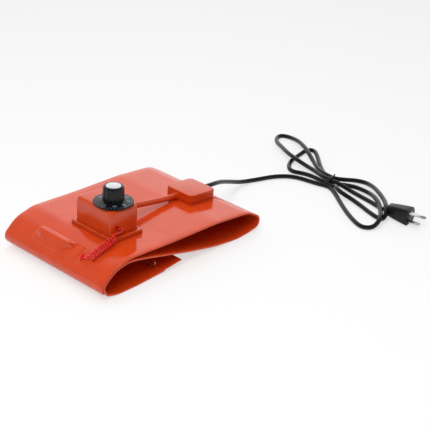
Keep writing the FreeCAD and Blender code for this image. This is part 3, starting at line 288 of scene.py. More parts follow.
def wire_along(name, points, diameter, bend=2.0, sides=14):
    """A round wire along straight runs whose corners are bent to a radius, all in mm."""
    points = [Vector(p) for p in points]
    line = [points[0]]
    for index in range(1, len(points) - 1):
        corner = points[index]
        way_in = (corner - points[index - 1]).normalized()
        way_out = (points[index + 1] - corner).normalized()
        turn = way_in.angle(way_out)
        if turn < 0.02:
            line.append(corner)
            continue
        shortest = min((corner - points[index - 1]).length, (points[index + 1] - corner).length)
        reach = min(bend * math.tan(turn / 2), shortest * 0.48)
        radius = reach / math.tan(turn / 2)
        centre_way = (way_out - way_in).normalized()
        centre = corner + centre_way * (radius / math.cos(turn / 2))
        arm = corner - way_in * reach - centre
        axis = way_in.cross(way_out).normalized()
        steps = max(3, int(math.degrees(turn) / 12))
        for step in range(steps + 1):
            line.append(centre + Matrix.Rotation(turn * step / steps, 3, axis) @ arm)
    line.append(points[-1])
    rings = []
    side = None
    for index, point in enumerate(line):
        before = line[max(index - 1, 0)]
        after = line[min(index + 1, len(line) - 1)]
        way = (after - before).normalized()
        if side is None:
            side = way.orthogonal().normalized()
        side = (side - way * side.dot(way)).normalized()
        other = way.cross(side)
        ring = []
        for step in range(sides):
            angle = 2 * math.pi * step / sides
            ring.append(point + (side * math.cos(angle) + other * math.sin(angle)) * (diameter / 2))
        rings.append(ring)
    return loft(name, rings, smooth_angle=60.0)


# %% [markdown]
# The band is a heated laminate of silicone sheet, 200 mm wide and 2.6 mm thick.
# Seen from its side it is one line that folds over, back and under itself.
# The line is drawn as corner points with a bend radius each, as a tailor would mark a fold.
# The same points are used for the solid frame, so the sheet lies exactly on it.

# %% Folded line of the band
BAND_WIDTH = 200.0
BAND_THICKNESS = 2.6
LEFT = -140.2
RIGHT = 140.2
LAYER_GAP = 0.5
MERGE_REACH = 26.5
TIP_SLOPE = math.radians(6.6)
FLAP_LENGTH = 31.5
FLAP_THICKNESS = 0.9
OUTER_FOLD = [
    (LEFT + 3.4, 9.6, 0.0), (LEFT - 0.9, 18.65, 10.2), (LEFT + 20.6, 37.0, 44.0),
    (LEFT + 50.1, 43.6, 45.0),
]
TOP_AND_RIGHT = [
    (LEFT + 118.0, 40.05, 400.0), (RIGHT - 80.4, 38.05, 80.0), (RIGHT - 22.7, 32.1, 40.0),
    (RIGHT - 0.4, 18.8, 9.2), (RIGHT - 3.0, 6.3, 9.2), (RIGHT - 18.6, 3.2, 120.0),
    (RIGHT - 37.5, 1.3, 100.0), (RIGHT - 48.3, 1.3, 100.0),
]
MIDDLE_LAYER = [
    (LEFT + 196.1, 5.2, 300.0), (LEFT + 150.3, 14.6, 600.0), (LEFT + 84.3, 31.3, 500.0),
]
BOTTOM_LAYER = [
    (LEFT + 8.9, 5.3, 8.4), (LEFT + 27.1, 1.3, 60.0), (LEFT + 58.0, 1.3, 150.0),
    (LEFT + 104.0, 3.8, 400.0),
]


def unit(a, b):
    return (Vector(b[:2]) - Vector(a[:2])).normalized()


def nested(before, corner, after):
    """The corner that runs parallel to a fold, one thickness and a gap inside it."""
    inside = BAND_THICKNESS + LAYER_GAP
    way_in, way_out = unit(before, corner), unit(corner, after)
    normal = Vector((way_in.y + way_out.y, -way_in.x - way_out.x)).normalized()
    shrink = normal.x * way_in.y - normal.y * way_in.x
    place = Vector(corner[:2]) + normal * (inside / shrink)
    return (place.x, place.y, corner[2] - inside)


inner_high = nested(*OUTER_FOLD[1:4])
inner_low = nested(*OUTER_FOLD[0:3])
merge_point = Vector(inner_high[:2]) + unit(OUTER_FOLD[2], OUTER_FOLD[3]) * MERGE_REACH
flap_tip = (
    BOTTOM_LAYER[-1][0] + FLAP_LENGTH * math.cos(TIP_SLOPE),
    BOTTOM_LAYER[-1][1] + FLAP_LENGTH * math.sin(TIP_SLOPE),
    0.0,
)
BAND_ROUTE = (
    OUTER_FOLD + TOP_AND_RIGHT + MIDDLE_LAYER
    + [(merge_point.x, merge_point.y, 55.0), inner_high, inner_low]
    + BOTTOM_LAYER + [flap_tip]
)


def folded_line(route, step_length=2.4, step_angle=4.0):
    """Stations along the route: (point, direction), both in the X-Z plane."""
    stations = []
    start = Vector(route[0][:2])
    for index in range(1, len(route) - 1):
        before, corner, after = route[index - 1], route[index], route[index + 1]
        way_in, way_out = unit(before, corner), unit(corner, after)
        turn = math.atan2(way_in.x * way_out.y - way_in.y * way_out.x, way_in.dot(way_out))
        radius = corner[2]
        reach = radius * math.tan(abs(turn) / 2)
        arc_start = Vector(corner[:2]) - way_in * reach
        side = 1 if turn > 0 else -1
        centre = arc_start + Vector((-way_in.y, way_in.x)) * (radius * side)
        run = (arc_start - start).length
        pieces = max(1, int(run / step_length))
        for i in range(pieces):
            stations.append((start.lerp(arc_start, i / pieces), way_in.copy()))
        pieces = max(2, int(abs(math.degrees(turn)) / step_angle), int(radius * abs(turn) / step_length))
        arm = arc_start - centre
        for i in range(pieces):
            rotation = Matrix.Rotation(turn * i / pieces, 2)
            stations.append((centre + rotation @ arm, rotation @ way_in))
        start = centre + Matrix.Rotation(turn, 2) @ arm
    end = Vector(route[-1][:2])
    pieces = max(2, int((end - start).length / step_length))
    way = (end - start).normalized()
    for i in range(pieces + 1):
        stations.append((start.lerp(end, i / pieces), way.copy()))
    return stations


stations = folded_line(BAND_ROUTE)
band_length = sum((b[0] - a[0]).length for a, b in zip(stations, stations[1:]))
print("stations", len(stations), "band length in mm", round(band_length, 1))

# %% [markdown]
# Now the line gets its width: at every station we draw the sheet's cross-section.
# The cut rims are slightly rounded, because a cut silicone sheet never has a razor edge.
# The last stretch is a thin single ply, where the heating wire has stopped.


# %% Silicone band
FACE_COLUMNS = 20


def section_ring(point, way, upper, lower, half_width, rim=0.7):
    """One cross-section: `upper` and `lower` are the two faces' heights over the line."""
    normal = Vector((-way.y, way.x))
    rim = min(rim, (upper - lower) * 0.45)
    ring = []
    corners = (
        (half_width, upper, 0), (-half_width, upper, 90), (-half_width, lower, 180),
        (half_width, lower, 270),
    )
    for y, height, first in corners:
        centre_y = y - math.copysign(rim, y)
        centre_h = height - rim if height == upper else height + rim
        for step in range(4):
            angle = math.radians(first + 30 * step)
            across = centre_y + rim * math.cos(angle)
            rise = centre_h + rim * math.sin(angle)
            place = point + normal * rise
            ring.append((place.x, across, place.y))
        if first in (0, 180):
            toward = -1 if first == 0 else 1
            inner_edge = half_width - rim
            for column in range(1, FACE_COLUMNS):
                across = toward * inner_edge * (2 * column / FACE_COLUMNS - 1)
                place = point + normal * height
                ring.append((place.x, across, place.y))
    return ring


half = BAND_THICKNESS / 2
flap_begin = band_length - FLAP_LENGTH
END_ROUND = 0.4
END_INSET = 0.35
travelled = 0.0
band_rings = []
previous = stations[0][0]
for index, (point, way) in enumerate(stations):
    travelled += (point - previous).length
    previous = point
    lower = half - FLAP_THICKNESS if travelled > flap_begin + END_ROUND else -half
    if index not in (0, len(stations) - 1):
        band_rings.append(section_ring(point, way, half, lower, BAND_WIDTH / 2))
        continue
    small = section_ring(point, way, half - END_INSET, lower + END_INSET, BAND_WIDTH / 2 - END_INSET)
    shift = way * (END_ROUND if index == 0 else -END_ROUND)
    full = section_ring(point + shift, way, half, lower, BAND_WIDTH / 2)
    band_rings += [small, full] if index == 0 else [full, small]
heater_band = loft("heater_band_sheet", band_rings, smooth_angle=30.0)
print("band faces", len(heater_band.data.polygons))


# %% [markdown]
# A silicone patch is cured over the sensor's steel bulb, near the left fold.
# It hugs the curve of the sheet, and a soft ridge shows where the bulb lies underneath.
# The ridge is a smooth hill in the patch's height, so patch and ridge are one skin.
# A smaller pad of the same stuff holds down the feet of the spring's eye.


# %% Patch over the sensor and pad of the eye
def outer_face_at(distance):
    """Point, direction and outward normal on the outer face at a distance along the line."""
    passed = 0.0
    for (a, way_a), (b, way_b) in zip(stations, stations[1:]):
        run = (b - a).length
        if passed + run >= distance:
            share = (distance - passed) / run
            way = way_a.lerp(way_b, share).normalized()
            normal = Vector((-way.y, way.x))
            return a.lerp(b, share) + normal * half, way, normal
        passed += run
    raise ValueError("past the end of the band")


def distance_at(x):
    """Distance along the line where the outer face first reaches an x on the top side."""
    distance = 10.0
    while True:
        point, way, normal = outer_face_at(distance)
        if point.x >= x and way.x > 0.2:
            return distance
        distance += 0.2


def smooth_step(value):
    value = max(0.0, min(1.0, value))
    return value * value * (3 - 2 * value)


EDGE_WIDTH = 2.4
EDGE_LIFT = 0.02
EDGE_SINK = 0.05


def hugging_skin(name, from_x, to_x, from_y, to_y, height, columns, rows, hill=None, corner=0.0):
    """A thin moulding that lies on the outer face; `hill` adds height over some of it."""
    start, finish = distance_at(from_x), distance_at(to_x)
    points, faces = [], []
    for row in range(rows + 1):
        for column in range(columns + 1):
            u, v = column / columns, row / rows
            distance = start + (finish - start) * u
            y = from_y + (to_y - from_y) * v
            edge_u = min(u, 1 - u) * (finish - start)
            edge_v = min(v, 1 - v) * (to_y - from_y)
            if corner and edge_u < corner and edge_v < corner:
                reach = math.hypot(corner - edge_u, corner - edge_v)
                pull = max(reach - corner, 0.0) / reach
                distance += (corner - edge_u) * pull * (1 if u < 0.5 else -1)
                y += (corner - edge_v) * pull * (1 if v < 0.5 else -1)
            point, way, normal = outer_face_at(distance)
            lift = EDGE_LIFT + height * smooth_step(min(edge_u, edge_v) / EDGE_WIDTH)
            if edge_u < 1e-6 or edge_v < 1e-6:
                lift = -EDGE_SINK
            if hill:
                lift += hill(point, y)
            place = point + normal * lift
            points.append((place.x, y, place.y))
    for row in range(rows):
        for column in range(columns):
            a = row * (columns + 1) + column
            faces.append((a, a + 1, a + columns + 2, a + columns + 1))
    ring = list(range(columns + 1))
    ring += [row * (columns + 1) + columns for row in range(1, rows + 1)]
    ring += [rows * (columns + 1) + column for column in range(columns - 1, -1, -1)]
    ring += [row * (columns + 1) for row in range(rows - 1, 0, -1)]
    faces.append(tuple(reversed(ring)))
    return new_mesh_object(name, points, faces, 50.0)


BULB_X = LEFT + 21.0
BULB_HEIGHT = 6.0
bulb_place = outer_face_at(distance_at(BULB_X))[0]


def bulb_hill(point, y):
    """Height that the bulb adds, with a low tail over the thin tube that leaves its near end."""
    side = point.x - bulb_place.x
    across = math.copysign((point - bulb_place).length, side)
    ends = min(y + 19.0, 49.4 - y)
    if across > 0:
        hill = BULB_HEIGHT * math.exp(-((across / 4.0) ** 4) * 0.9) * smooth_step(ends / 3.6)
    else:
        fade = 3.6 - 1.6 * across
        hill = BULB_HEIGHT * math.exp(-((across / 7.2) ** 2)) * smooth_step(ends / fade)
    tail = 0.0
    if y < -15.0:
        along = min(max((-18.0 - y) / 4.85, 0.0), 1.0)
        reach = math.hypot(across - 7.0 * along, max(-22.9 - y, 0.0))
        tail = 4.0 * (1 - along) * math.exp(-((reach / 2.4) ** 4))
    return max(hill, tail)


sensor_patch = hugging_skin(
    "sensor_patch_skin", LEFT + 8.0, LEFT + 29.5, -36.5, 52.5, 1.0, 56, 150, bulb_hill, 3.0
)
eye_pad = hugging_skin("eye_pad_skin", LEFT + 8.0, LEFT + 21.0, -56.5, -37.0, 1.1, 40, 44, None, 3.0)
print("patch faces", len(sensor_patch.data.polygons))

# %% [markdown]
# The thermostat stands in a shallow tray that is bonded to the band.
# The tray has a raised lip that leans outward at its foot, where it was cured to the sheet.
# The cover is one silicone moulding like a deep cup turned over, with a generous top edge.

# %% Tray
BASE_WIDTH = 53.0
BASE_LENGTH = 84.0
BASE_HEIGHT = 6.0
BASE_CORNER = 4.0
COVER_WIDTH = 46.0
COVER_LENGTH = 72.0
COVER_TOP = 40.3
TRAY_FLOOR = 2.0
TRAY_WELL = 0.15
tray_rings = []


def tray_ring(grow, z, width=BASE_WIDTH, length=BASE_LENGTH, corner=BASE_CORNER):
    """An outline of the tray, made bigger all round by `grow`."""
    outline = rounded_rectangle(width + 2 * grow, length + 2 * grow, corner + grow)
    tray_rings.append([(x, y, z) for x, y in outline])


for step in range(6):
    angle = math.radians(18 * step)
    tray_ring(-0.7 * (1 - math.sin(angle)), 0.7 * (1 - math.cos(angle)))
for step in range(7):
    angle = math.radians(15 * step)
    tray_ring(-1.2 * (1 - math.cos(angle)), BASE_HEIGHT - 1.2 * (1 - math.sin(angle)))
well = (COVER_WIDTH + 2 * TRAY_WELL, COVER_LENGTH + 2 * TRAY_WELL, 5.0)
for step in range(5):
    angle = math.radians(22.5 * step)
    tray_ring(0.9 * (1 - math.sin(angle)), BASE_HEIGHT - 0.9 * (1 - math.cos(angle)), *well)
tray_ring(0.0, TRAY_FLOOR, *well)
tray = placed(loft("thermostat_tray", tray_rings, smooth_angle=40.0), HOUSING)

# %% Cover
cover = moulded_box(
    "thermostat_cover", COVER_WIDTH, COVER_LENGTH, 5.6, TRAY_FLOOR, COVER_TOP, 0.3, 4.6, bulge=0.2, steps=8
)
HOOK_HOLE = Vector((-13.1, -36.0, 16.5))
drill_profile = [(0.0, -6.0), (3.1, -6.0), (3.1, 0.1), (2.7, 0.5), (2.7, 9.0), (0.0, 9.0)]
inward = Matrix.Rotation(math.radians(-90), 4, "X")
drill = placed(lathe("drill", drill_profile, 32), Matrix.Translation(HOOK_HOLE) @ inward)
drilling = cover.modifiers.new("hook hole", "BOOLEAN")
drilling.object = drill
drilling.operation = "DIFFERENCE"
drilling.solver = "EXACT"
drilled = baked_mesh(cover)
cover.modifiers.remove(drilling)
cover.data = drilled
bpy.data.objects.remove(drill)
shade(cover, 40.0)
placed(cover, HOUSING)
print("cover top in mm", round(max(v.co.z for v in cover.data.vertices) / MM, 1))

# %% [markdown]
# The dial is turned as a wide thin skirt with a fluted grip standing on it.
# The skirt is a shallow cone, so its print can be read from above.
# A lathe shape is the natural way to make it: a half profile spun about the spindle.

# %% Dial skirt
DIAL = HOUSING @ Matrix.Translation((0.0, -12.8, 41.3))
SKIRT_RADIUS = 26.5
skirt_profile = [
    (0.0, 0.15), (9.0, 0.15), (24.6, 0.1), (26.2, 0.15), (SKIRT_RADIUS, 0.5), (SKIRT_RADIUS, 1.5),
    (26.3, 1.85),
    (25.9, 1.98), (25.2, 2.0), (22.0, 2.35), (18.0, 2.8), (15.2, 3.1), (14.5, 3.35), (14.2, 3.9),
    (0.0, 3.9),
]
dial_skirt = placed(lathe("dial_skirt", skirt_profile, 128, 28.0), DIAL)

# %% [markdown]
# The grip has twelve shallow finger flutes.
# A flute is the same on every side, so we cut one in the outline and let nodes repeat it.
# The node group below bends a plain tube: each ring of points moves in where a flute passes.
# Changing the count or the depth is then one number, and the grip is rebuilt at once.

# %% Nodes that flute a round grip
FLUTE_COUNT = 12
FLUTE_DEPTH = 1.1


def math_nodes(tree):
    """A function that adds math nodes to a tree: it sets numbers and links the rest."""
    def add(kind, *values):
        node = tree.nodes.new("ShaderNodeMath")
        node.operation = kind
        for socket, value in zip(node.inputs, values):
            if isinstance(value, float):
                socket.default_value = value
            else:
                tree.links.new(value, socket)
        return node.outputs[0]

    return add


def new_tree(name, **inputs):
    """A geometry tree with named inputs, the identifier of each input, and its start node."""
    tree = bpy.data.node_groups.new(name, "GeometryNodeTree")
    tree.interface.new_socket(name="Geometry", in_out="INPUT", socket_type="NodeSocketGeometry")
    sockets = {}
    for label, kind in inputs.items():
        made = tree.interface.new_socket(name=label, in_out="INPUT", socket_type="NodeSocket" + kind)
        sockets[label] = made.identifier
    tree.interface.new_socket(name="Geometry", in_out="OUTPUT", socket_type="NodeSocketGeometry")
    return tree, sockets, tree.nodes.new("NodeGroupInput")


def end_tree(tree, start, geometry):
    """Make the instances real, give them the material and send them out."""
    real = tree.nodes.new("GeometryNodeRealizeInstances")
    paint = tree.nodes.new("GeometryNodeSetMaterial")
    end = tree.nodes.new("NodeGroupOutput")
    tree.links.new(geometry, real.inputs[0])
    tree.links.new(real.outputs[0], paint.inputs["Geometry"])
    tree.links.new(start.outputs["Material"], paint.inputs["Material"])
    tree.links.new(paint.outputs[0], end.inputs[0])


def bake_nodes(shape, tree, sockets, **values):
    """Run a node group on an object and keep the result as its plain mesh."""
    modifier = shape.modifiers.new(tree.name, "NODES")
    modifier.node_group = tree
    for name, value in values.items():
        modifier[sockets[name]] = value
    result = baked_mesh(shape)
    shape.modifiers.remove(modifier)
    result.name = shape.name
    shape.data = result
    return shape


def fluting_nodes():
    tree, sockets, start = new_tree(
        "fluted_grip", Flutes="Int", Depth="Float", Seed="Int", Material="Material"
    )
    nodes, links, add = tree.nodes, tree.links, math_nodes(tree)
    place = nodes.new("GeometryNodeInputPosition")
    split = nodes.new("ShaderNodeSeparateXYZ")
    links.new(place.outputs[0], split.inputs[0])
    x, y, z = split.outputs
    wave = add("COSINE", add("MULTIPLY", add("ARCTAN2", y, x), start.outputs["Flutes"]))
    valley = add("POWER", add("MULTIPLY_ADD", wave, 0.5, 0.5), 1.6)
    radius = add("SQRT", add("ADD", add("MULTIPLY", x, x), add("MULTIPLY", y, y)))
    outer = add("SUBTRACT", radius, 9.5 * MM)
    share = add("DIVIDE", add("MAXIMUM", outer, 0.0), 4.75 * MM)
    high = add("DIVIDE", add("SUBTRACT", 22.9 * MM, z), 2.2 * MM)
    fade = add("MINIMUM", add("MAXIMUM", high, 0.0), 1.0)
    cut = add("MULTIPLY", add("MULTIPLY", add("MULTIPLY", valley, start.outputs["Depth"]), share), fade)
    inward = add("DIVIDE", add("SUBTRACT", radius, cut), add("MAXIMUM", radius, 0.0001))
    join = nodes.new("ShaderNodeCombineXYZ")
    links.new(add("MULTIPLY", x, inward), join.inputs["X"])
    links.new(add("MULTIPLY", y, inward), join.inputs["Y"])
    links.new(z, join.inputs["Z"])
    move = nodes.new("GeometryNodeSetPosition")
    links.new(start.outputs["Geometry"], move.inputs["Geometry"])
    links.new(join.outputs[0], move.inputs["Position"])
    end_tree(tree, start, move.outputs[0])
    return tree, sockets


# %% [markdown]
# The grip starts as a plain turned button with a slight taper and a soft top edge.
# Its rings are close together at the top, so the flutes can run out softly there.

# %% Fluted grip
GRIP_SIDES = FLUTE_COUNT * 14
grip_profile = [
    (9.0, 3.0), (13.9, 3.0), (14.22, 3.3), (14.25, 4.0), (14.2, 8.0), (14.05, 13.0), (13.9, 18.0),
    (13.8, 20.0), (13.7, 21.0), (13.5, 21.8), (13.1, 22.4), (12.6, 22.8), (12.0, 23.05),
    (11.2, 23.2), (10.25, 23.2), (10.15, 23.1), (10.15, 22.4),
]
dial_grip = lathe("dial_grip", grip_profile, GRIP_SIDES, 50.0)
knob_bakelite = bpy.data.materials.new("knob_bakelite")
flute_tree, flute_sockets = fluting_nodes()
bake_nodes(
    dial_grip, flute_tree, flute_sockets,
    Flutes=FLUTE_COUNT, Depth=FLUTE_DEPTH * MM, Seed=3, Material=knob_bakelite,
)
shade(dial_grip, 50.0)
placed(dial_grip, DIAL)
print("grip faces", len(dial_grip.data.polygons))

# %% Cap disc
cap_profile = [
    (0.0, 22.45), (9.6, 22.45), (9.95, 22.6), (10.0, 23.1), (9.9, 23.35), (9.6, 23.48),
    (9.0, 23.5), (8.6, 23.42), (8.3, 23.42), (8.0, 23.5), (0.0, 23.5),
]
dial_cap = placed(lathe("dial_cap", cap_profile, 96, 25.0), DIAL)

# %% [markdown]
# The print on the skirt is plain numbers and ticks, raised by a hair like screen-printed ink.
# Text is a curve in Blender, so each number is turned into a mesh before it is placed.
# Every number stands with its foot towards the rim and follows the skirt's slope.

# %% Dial numbers and ticks
NUMBERS = ["0", "20", "40", "60", "80", "100", "120", "140"]
NUMBER_HEIGHT = 3.9
NUMBER_RADIUS = 19.6
TICK_RADIUS = 23.9
TICKS_PER_NUMBER = 4
DIAL_START = 195.0
DIAL_SWEEP = 270.0


def skirt_height(radius):
    """Height of the skirt's cone, which falls from 3.1 mm near the grip to 2.0 mm near the rim."""
    return 2.0 + (25.2 - radius) * (3.1 - 2.0) / (25.2 - 15.2)


def number_mesh(text, height):
    data = bpy.data.curves.new("number", "FONT")
    data.body = text
    data.size = height * MM / 0.72
    data.align_x = "CENTER"
    data.align_y = "CENTER"
    data.resolution_u = 3
    shape = new_object("number", data)
    mesh = baked_mesh(shape)
    bpy.data.objects.remove(shape)
    return mesh


print_points, print_faces = [], []


def add_print(local_points, local_faces, angle, radius_at):
    """Lay flat print on the skirt: local x goes round, local y goes outward."""
    first = len(print_points)
    for x, y in local_points:
        radius = radius_at + y
        around = math.radians(angle) + x / radius
        place = Vector((radius * math.cos(around), radius * math.sin(around), skirt_height(radius) + 0.05))
        print_points.append(tuple(DIAL @ place))
    for face in local_faces:
        print_faces.append([first + i for i in face])


for order, text in enumerate(NUMBERS):
    angle = DIAL_START + DIAL_SWEEP * order / (len(NUMBERS) - 1)
    mesh = number_mesh(text, NUMBER_HEIGHT)
    flat = [(v.co.x / MM, -v.co.y / MM) for v in mesh.vertices]
    add_print(flat, [list(f.vertices) for f in mesh.polygons], angle, NUMBER_RADIUS)
    bpy.data.meshes.remove(mesh)
ticks = (len(NUMBERS) - 1) * TICKS_PER_NUMBER
for order in range(ticks + 1):
    angle = DIAL_START + DIAL_SWEEP * order / ticks
    low, wide = (-1.2, 0.32) if order % TICKS_PER_NUMBER == 0 else (-0.3, 0.2)
    corners = [(-wide, low), (wide, low), (wide, 1.0), (-wide, 1.0)]
    add_print(corners, [(3, 2, 1, 0)], angle, TICK_RADIUS)
dial_print = new_mesh_object("dial_print", print_points, print_faces, 30.0)
print("print faces", len(dial_print.data.polygons))

# %% [markdown]
# The junction box is a low moulding where the cord meets the band's own leads.
# It is made of a thin base sheet and a cover, and a fine seam runs round its middle.
# The seam is a real groove a few tenths deep, so it draws its own shadow.

# %% Junction box
JUNCTION_WIDTH = 47.5
JUNCTION_LENGTH = 50.0
JUNCTION_HEIGHT = 14.2
JUNCTION_CORNER = 7.0
junction_rings = []


def junction_ring(inset, z):
    outline = rounded_rectangle(
        JUNCTION_WIDTH - 2 * inset, JUNCTION_LENGTH - 2 * inset, JUNCTION_CORNER - inset, 10
    )
    junction_rings.append([(x, y, z) for x, y in outline])


junction_profile = [
    (0.12, 1.62), (0.0, 1.8), (0.0, 7.3), (0.05, 7.5), (0.3, 7.62), (0.3, 7.78), (0.05, 7.9),
    (0.0, 8.1), (0.0, JUNCTION_HEIGHT - 1.0),
]
for inset, z in junction_profile:
    junction_ring(inset, z)
for step in range(1, 6):
    angle = math.radians(18 * step)
    junction_ring(1.0 * (1 - math.cos(angle)), JUNCTION_HEIGHT - 1.0 * (1 - math.sin(angle)))
junction_box = placed(loft("junction_box_cover", junction_rings, smooth_angle=40.0), JUNCTION)
junction_foot = moulded_box(
    "junction_box_foot", JUNCTION_WIDTH, JUNCTION_LENGTH, JUNCTION_CORNER, 0.0, 1.6, 0.1, 0.1, steps=2
)
placed(junction_foot, JUNCTION)

# %% [markdown]
# A soft sleeve carries two wires from the thermostat to the junction box.
# It hangs in a shallow arc, because it is a rubber tube held at both ends.
# Where it meets the junction box there is a small moulded collar, and the cord has one there too.

# %% Link sleeve with its collars
SLEEVE_DIAMETER = 8.0
SLEEVE_BEND = 150.0
sleeve_route = [
    HOUSING @ Vector((20.5, 4.05, 17.0)),
    HOUSING @ Vector((38.5, 4.05, 17.0)),
    HOUSING @ Vector((64.5, 4.05, 13.4)),
    JUNCTION @ Vector((-52.75, 3.3, 6.1)),
    JUNCTION @ Vector((-34.75, 3.3, 5.7)),
    JUNCTION @ Vector((-20.75, 3.3, 5.7)),
]
link_sleeve = wire_along("link_sleeve_tube", sleeve_route, SLEEVE_DIAMETER, SLEEVE_BEND, 28)


def collar(name, place, low, high):
    """A short ring round the sleeve whose free end is rounded; local Z points out of the wall."""
    profile = [
        (0.0, low), (5.2, low), (5.2, high - 1.0), (5.0, high - 0.4), (4.6, high - 0.05), (4.1, high),
        (0.0, high),
    ]
    return placed(lathe(name, profile, 40, 40.0), place)


to_left = Matrix.Rotation(math.radians(-90), 4, "Y")
to_right = Matrix.Rotation(math.radians(90), 4, "Y")
sleeve_wall = JUNCTION @ Matrix.Translation((-23.75, 3.3, 5.7)) @ to_left
cord_wall = JUNCTION @ Matrix.Translation((23.75, 0.0, 8.2)) @ to_right
junction_collar = collar("sleeve_collar", sleeve_wall, -0.5, 2.0)
cord_collar = collar("cord_collar", cord_wall, -0.5, 0.8)

# %% [markdown]
# The spring is close-wound from red lacquered wire, with a drawn-out hook at each end.
# A coil is the best case for nodes: one node makes the helix and another gives it thickness.
# We then lay the finished coil on its axis between the eye and the cover.

# %% Nodes for the spring's coil
COIL_LOW = Vector((-124.7, -60.2, 41.5))
COIL_HIGH = Vector((-84.5, -62.5, 55.0))
COIL_TURNS = 10.0
SPRING_WIRE = 2.1
SPRING_RADIUS = 5.6 - SPRING_WIRE / 2


def coil_nodes():
    tree, sockets, start = new_tree(
        "wound_coil", Turns="Float", Radius="Float", Length="Float", Wire="Float", Seed="Int",
        Material="Material",
    )
    nodes, links, given = tree.nodes, tree.links, start.outputs
    helix = nodes.new("GeometryNodeCurveSpiral")
    helix.inputs["Resolution"].default_value = 28
    for socket, source in (
        ("Rotations", "Turns"), ("Start Radius", "Radius"), ("End Radius", "Radius"), ("Height", "Length"),
    ):
        links.new(given[source], helix.inputs[socket])
    wire = nodes.new("GeometryNodeCurvePrimitiveCircle")
    wire.inputs["Resolution"].default_value = 12
    links.new(given["Wire"], wire.inputs["Radius"])
    body = nodes.new("GeometryNodeCurveToMesh")
    body.inputs["Fill Caps"].default_value = True
    links.new(helix.outputs["Curve"], body.inputs["Curve"])
    links.new(wire.outputs["Curve"], body.inputs["Profile Curve"])
    soft = nodes.new("GeometryNodeSetShadeSmooth")
    links.new(body.outputs["Mesh"], soft.inputs["Geometry"])
    end_tree(tree, start, soft.outputs[0])
    return tree, sockets


# %% Spring coil and hooks
spring_lacquer = bpy.data.materials.new("spring_lacquer")
coil_way = (COIL_HIGH - COIL_LOW).normalized()
coil_length = (COIL_HIGH - COIL_LOW).length
spring_coil = new_object("spring_coil", bpy.data.meshes.new("spring_coil"))
coil_tree, coil_sockets = coil_nodes()
bake_nodes(
    spring_coil, coil_tree, coil_sockets,
    Turns=COIL_TURNS, Radius=SPRING_RADIUS * MM, Length=(coil_length - SPRING_WIRE) * MM,
    Wire=SPRING_WIRE * MM / 2, Seed=5, Material=spring_lacquer,
)
coil_turn = coil_way.to_track_quat("Z", "Y").to_matrix().to_4x4()
placed(spring_coil, Matrix.Translation(COIL_LOW + coil_way * SPRING_WIRE / 2) @ coil_turn)
EYE_X = LEFT + 15.5
EYE_Y = -45.5
eye_point, eye_way, eye_normal = outer_face_at(distance_at(EYE_X))
EYE = Matrix(
    (
        (eye_way.x, 0.0, eye_normal.x, eye_point.x),
        (0.0, 1.0, 0.0, EYE_Y),
        (eye_way.y, 0.0, eye_normal.y, eye_point.y),
        (0.0, 0.0, 0.0, 1.0),
    )
)


def from_axis(direction):
    """A unit vector square to the coil's axis."""
    direction = Vector(direction)
    return (direction - coil_way * direction.dot(coil_way)).normalized()


hook_offset = SPRING_RADIUS - 0.15
low_start = COIL_LOW + from_axis((0, 1, 0)) * hook_offset
low_hook = wire_along(
    "spring_low_hook",
    [
        low_start + coil_way * 0.8, low_start - coil_way * 2.6, EYE @ Vector((0.6, -3.3, 3.9)),
        EYE @ Vector((0.5, 2.5, 2.35)), EYE @ Vector((5.6, 3.3, 2.7)),
    ],
    SPRING_WIRE, 3.0,
)
high_start = COIL_HIGH + from_axis((0, 0.75, 0.66)) * hook_offset
hole_mouth = HOUSING @ HOOK_HOLE
high_hook = wire_along(
    "spring_high_hook",
    [
        high_start - coil_way * 0.8, high_start + coil_way * 2.6, hole_mouth + Vector((3.4, -3.3, -5.2)),
        hole_mouth + Vector((7.2, -3.1, -3.2)), hole_mouth + Vector((5.0, -2.3, -0.2)),
        hole_mouth + Vector((0.4, -1.4, -0.9)), hole_mouth + Vector((0.1, 4.5, -1.1)),
    ],
    SPRING_WIRE, 3.0,
)
spring = join_meshes("tension_spring", [spring_coil, low_hook, high_hook])
shade(spring, 60.0)
print("spring faces", len(spring.data.polygons))

# %% [markdown]
# The eye is a wire staple whose legs go down into the pad.
# The end hook is the other half of the fastener: it lies inside the folded band and keeps the frame's own
# mesh.
# Both are bent from the same steel wire; the wire helper makes the eye from its bend points.

# %% Eye staple
HOOK_WIRE = 1.8
eye_points = [(-3.2, 0.0, -0.6), (-3.2, 0.0, 5.1), (3.2, 0.0, 5.1), (3.2, 0.0, -0.6)]
spring_eye = wire_along("eye_staple", [EYE @ Vector(p) for p in eye_points], HOOK_WIRE, 2.4)
print("eye at mm", [round(v, 1) for v in EYE.translation])

# %% [markdown]
# The plug is one black moulding with three pins for a grounded outlet.
# It tapers to the rear, where the cord goes in, and has rounded corners all round.
# Two flat blades lie one above the other, because the plug rests on its side.

# %% Plug moulding
def plug_outline(height, depth, near, far, steps=6):
    """An outline across the plug: small corners at the blades, big ones at the earth pin."""
    points = []
    corners = (
        (depth / 2, height / 2, far, 0), (-depth / 2, height / 2, near, 90),
        (-depth / 2, -height / 2, near, 180), (depth / 2, -height / 2, far, 270),
    )
    for y, z, radius, first in corners:
        for step in range(steps + 1):
            angle = math.radians(first + 90 * step / steps)
            points.append(
                (
                    y - math.copysign(radius, y) + radius * math.cos(angle),
                    z - math.copysign(radius, z) + radius * math.sin(angle),
                )
            )
    return points


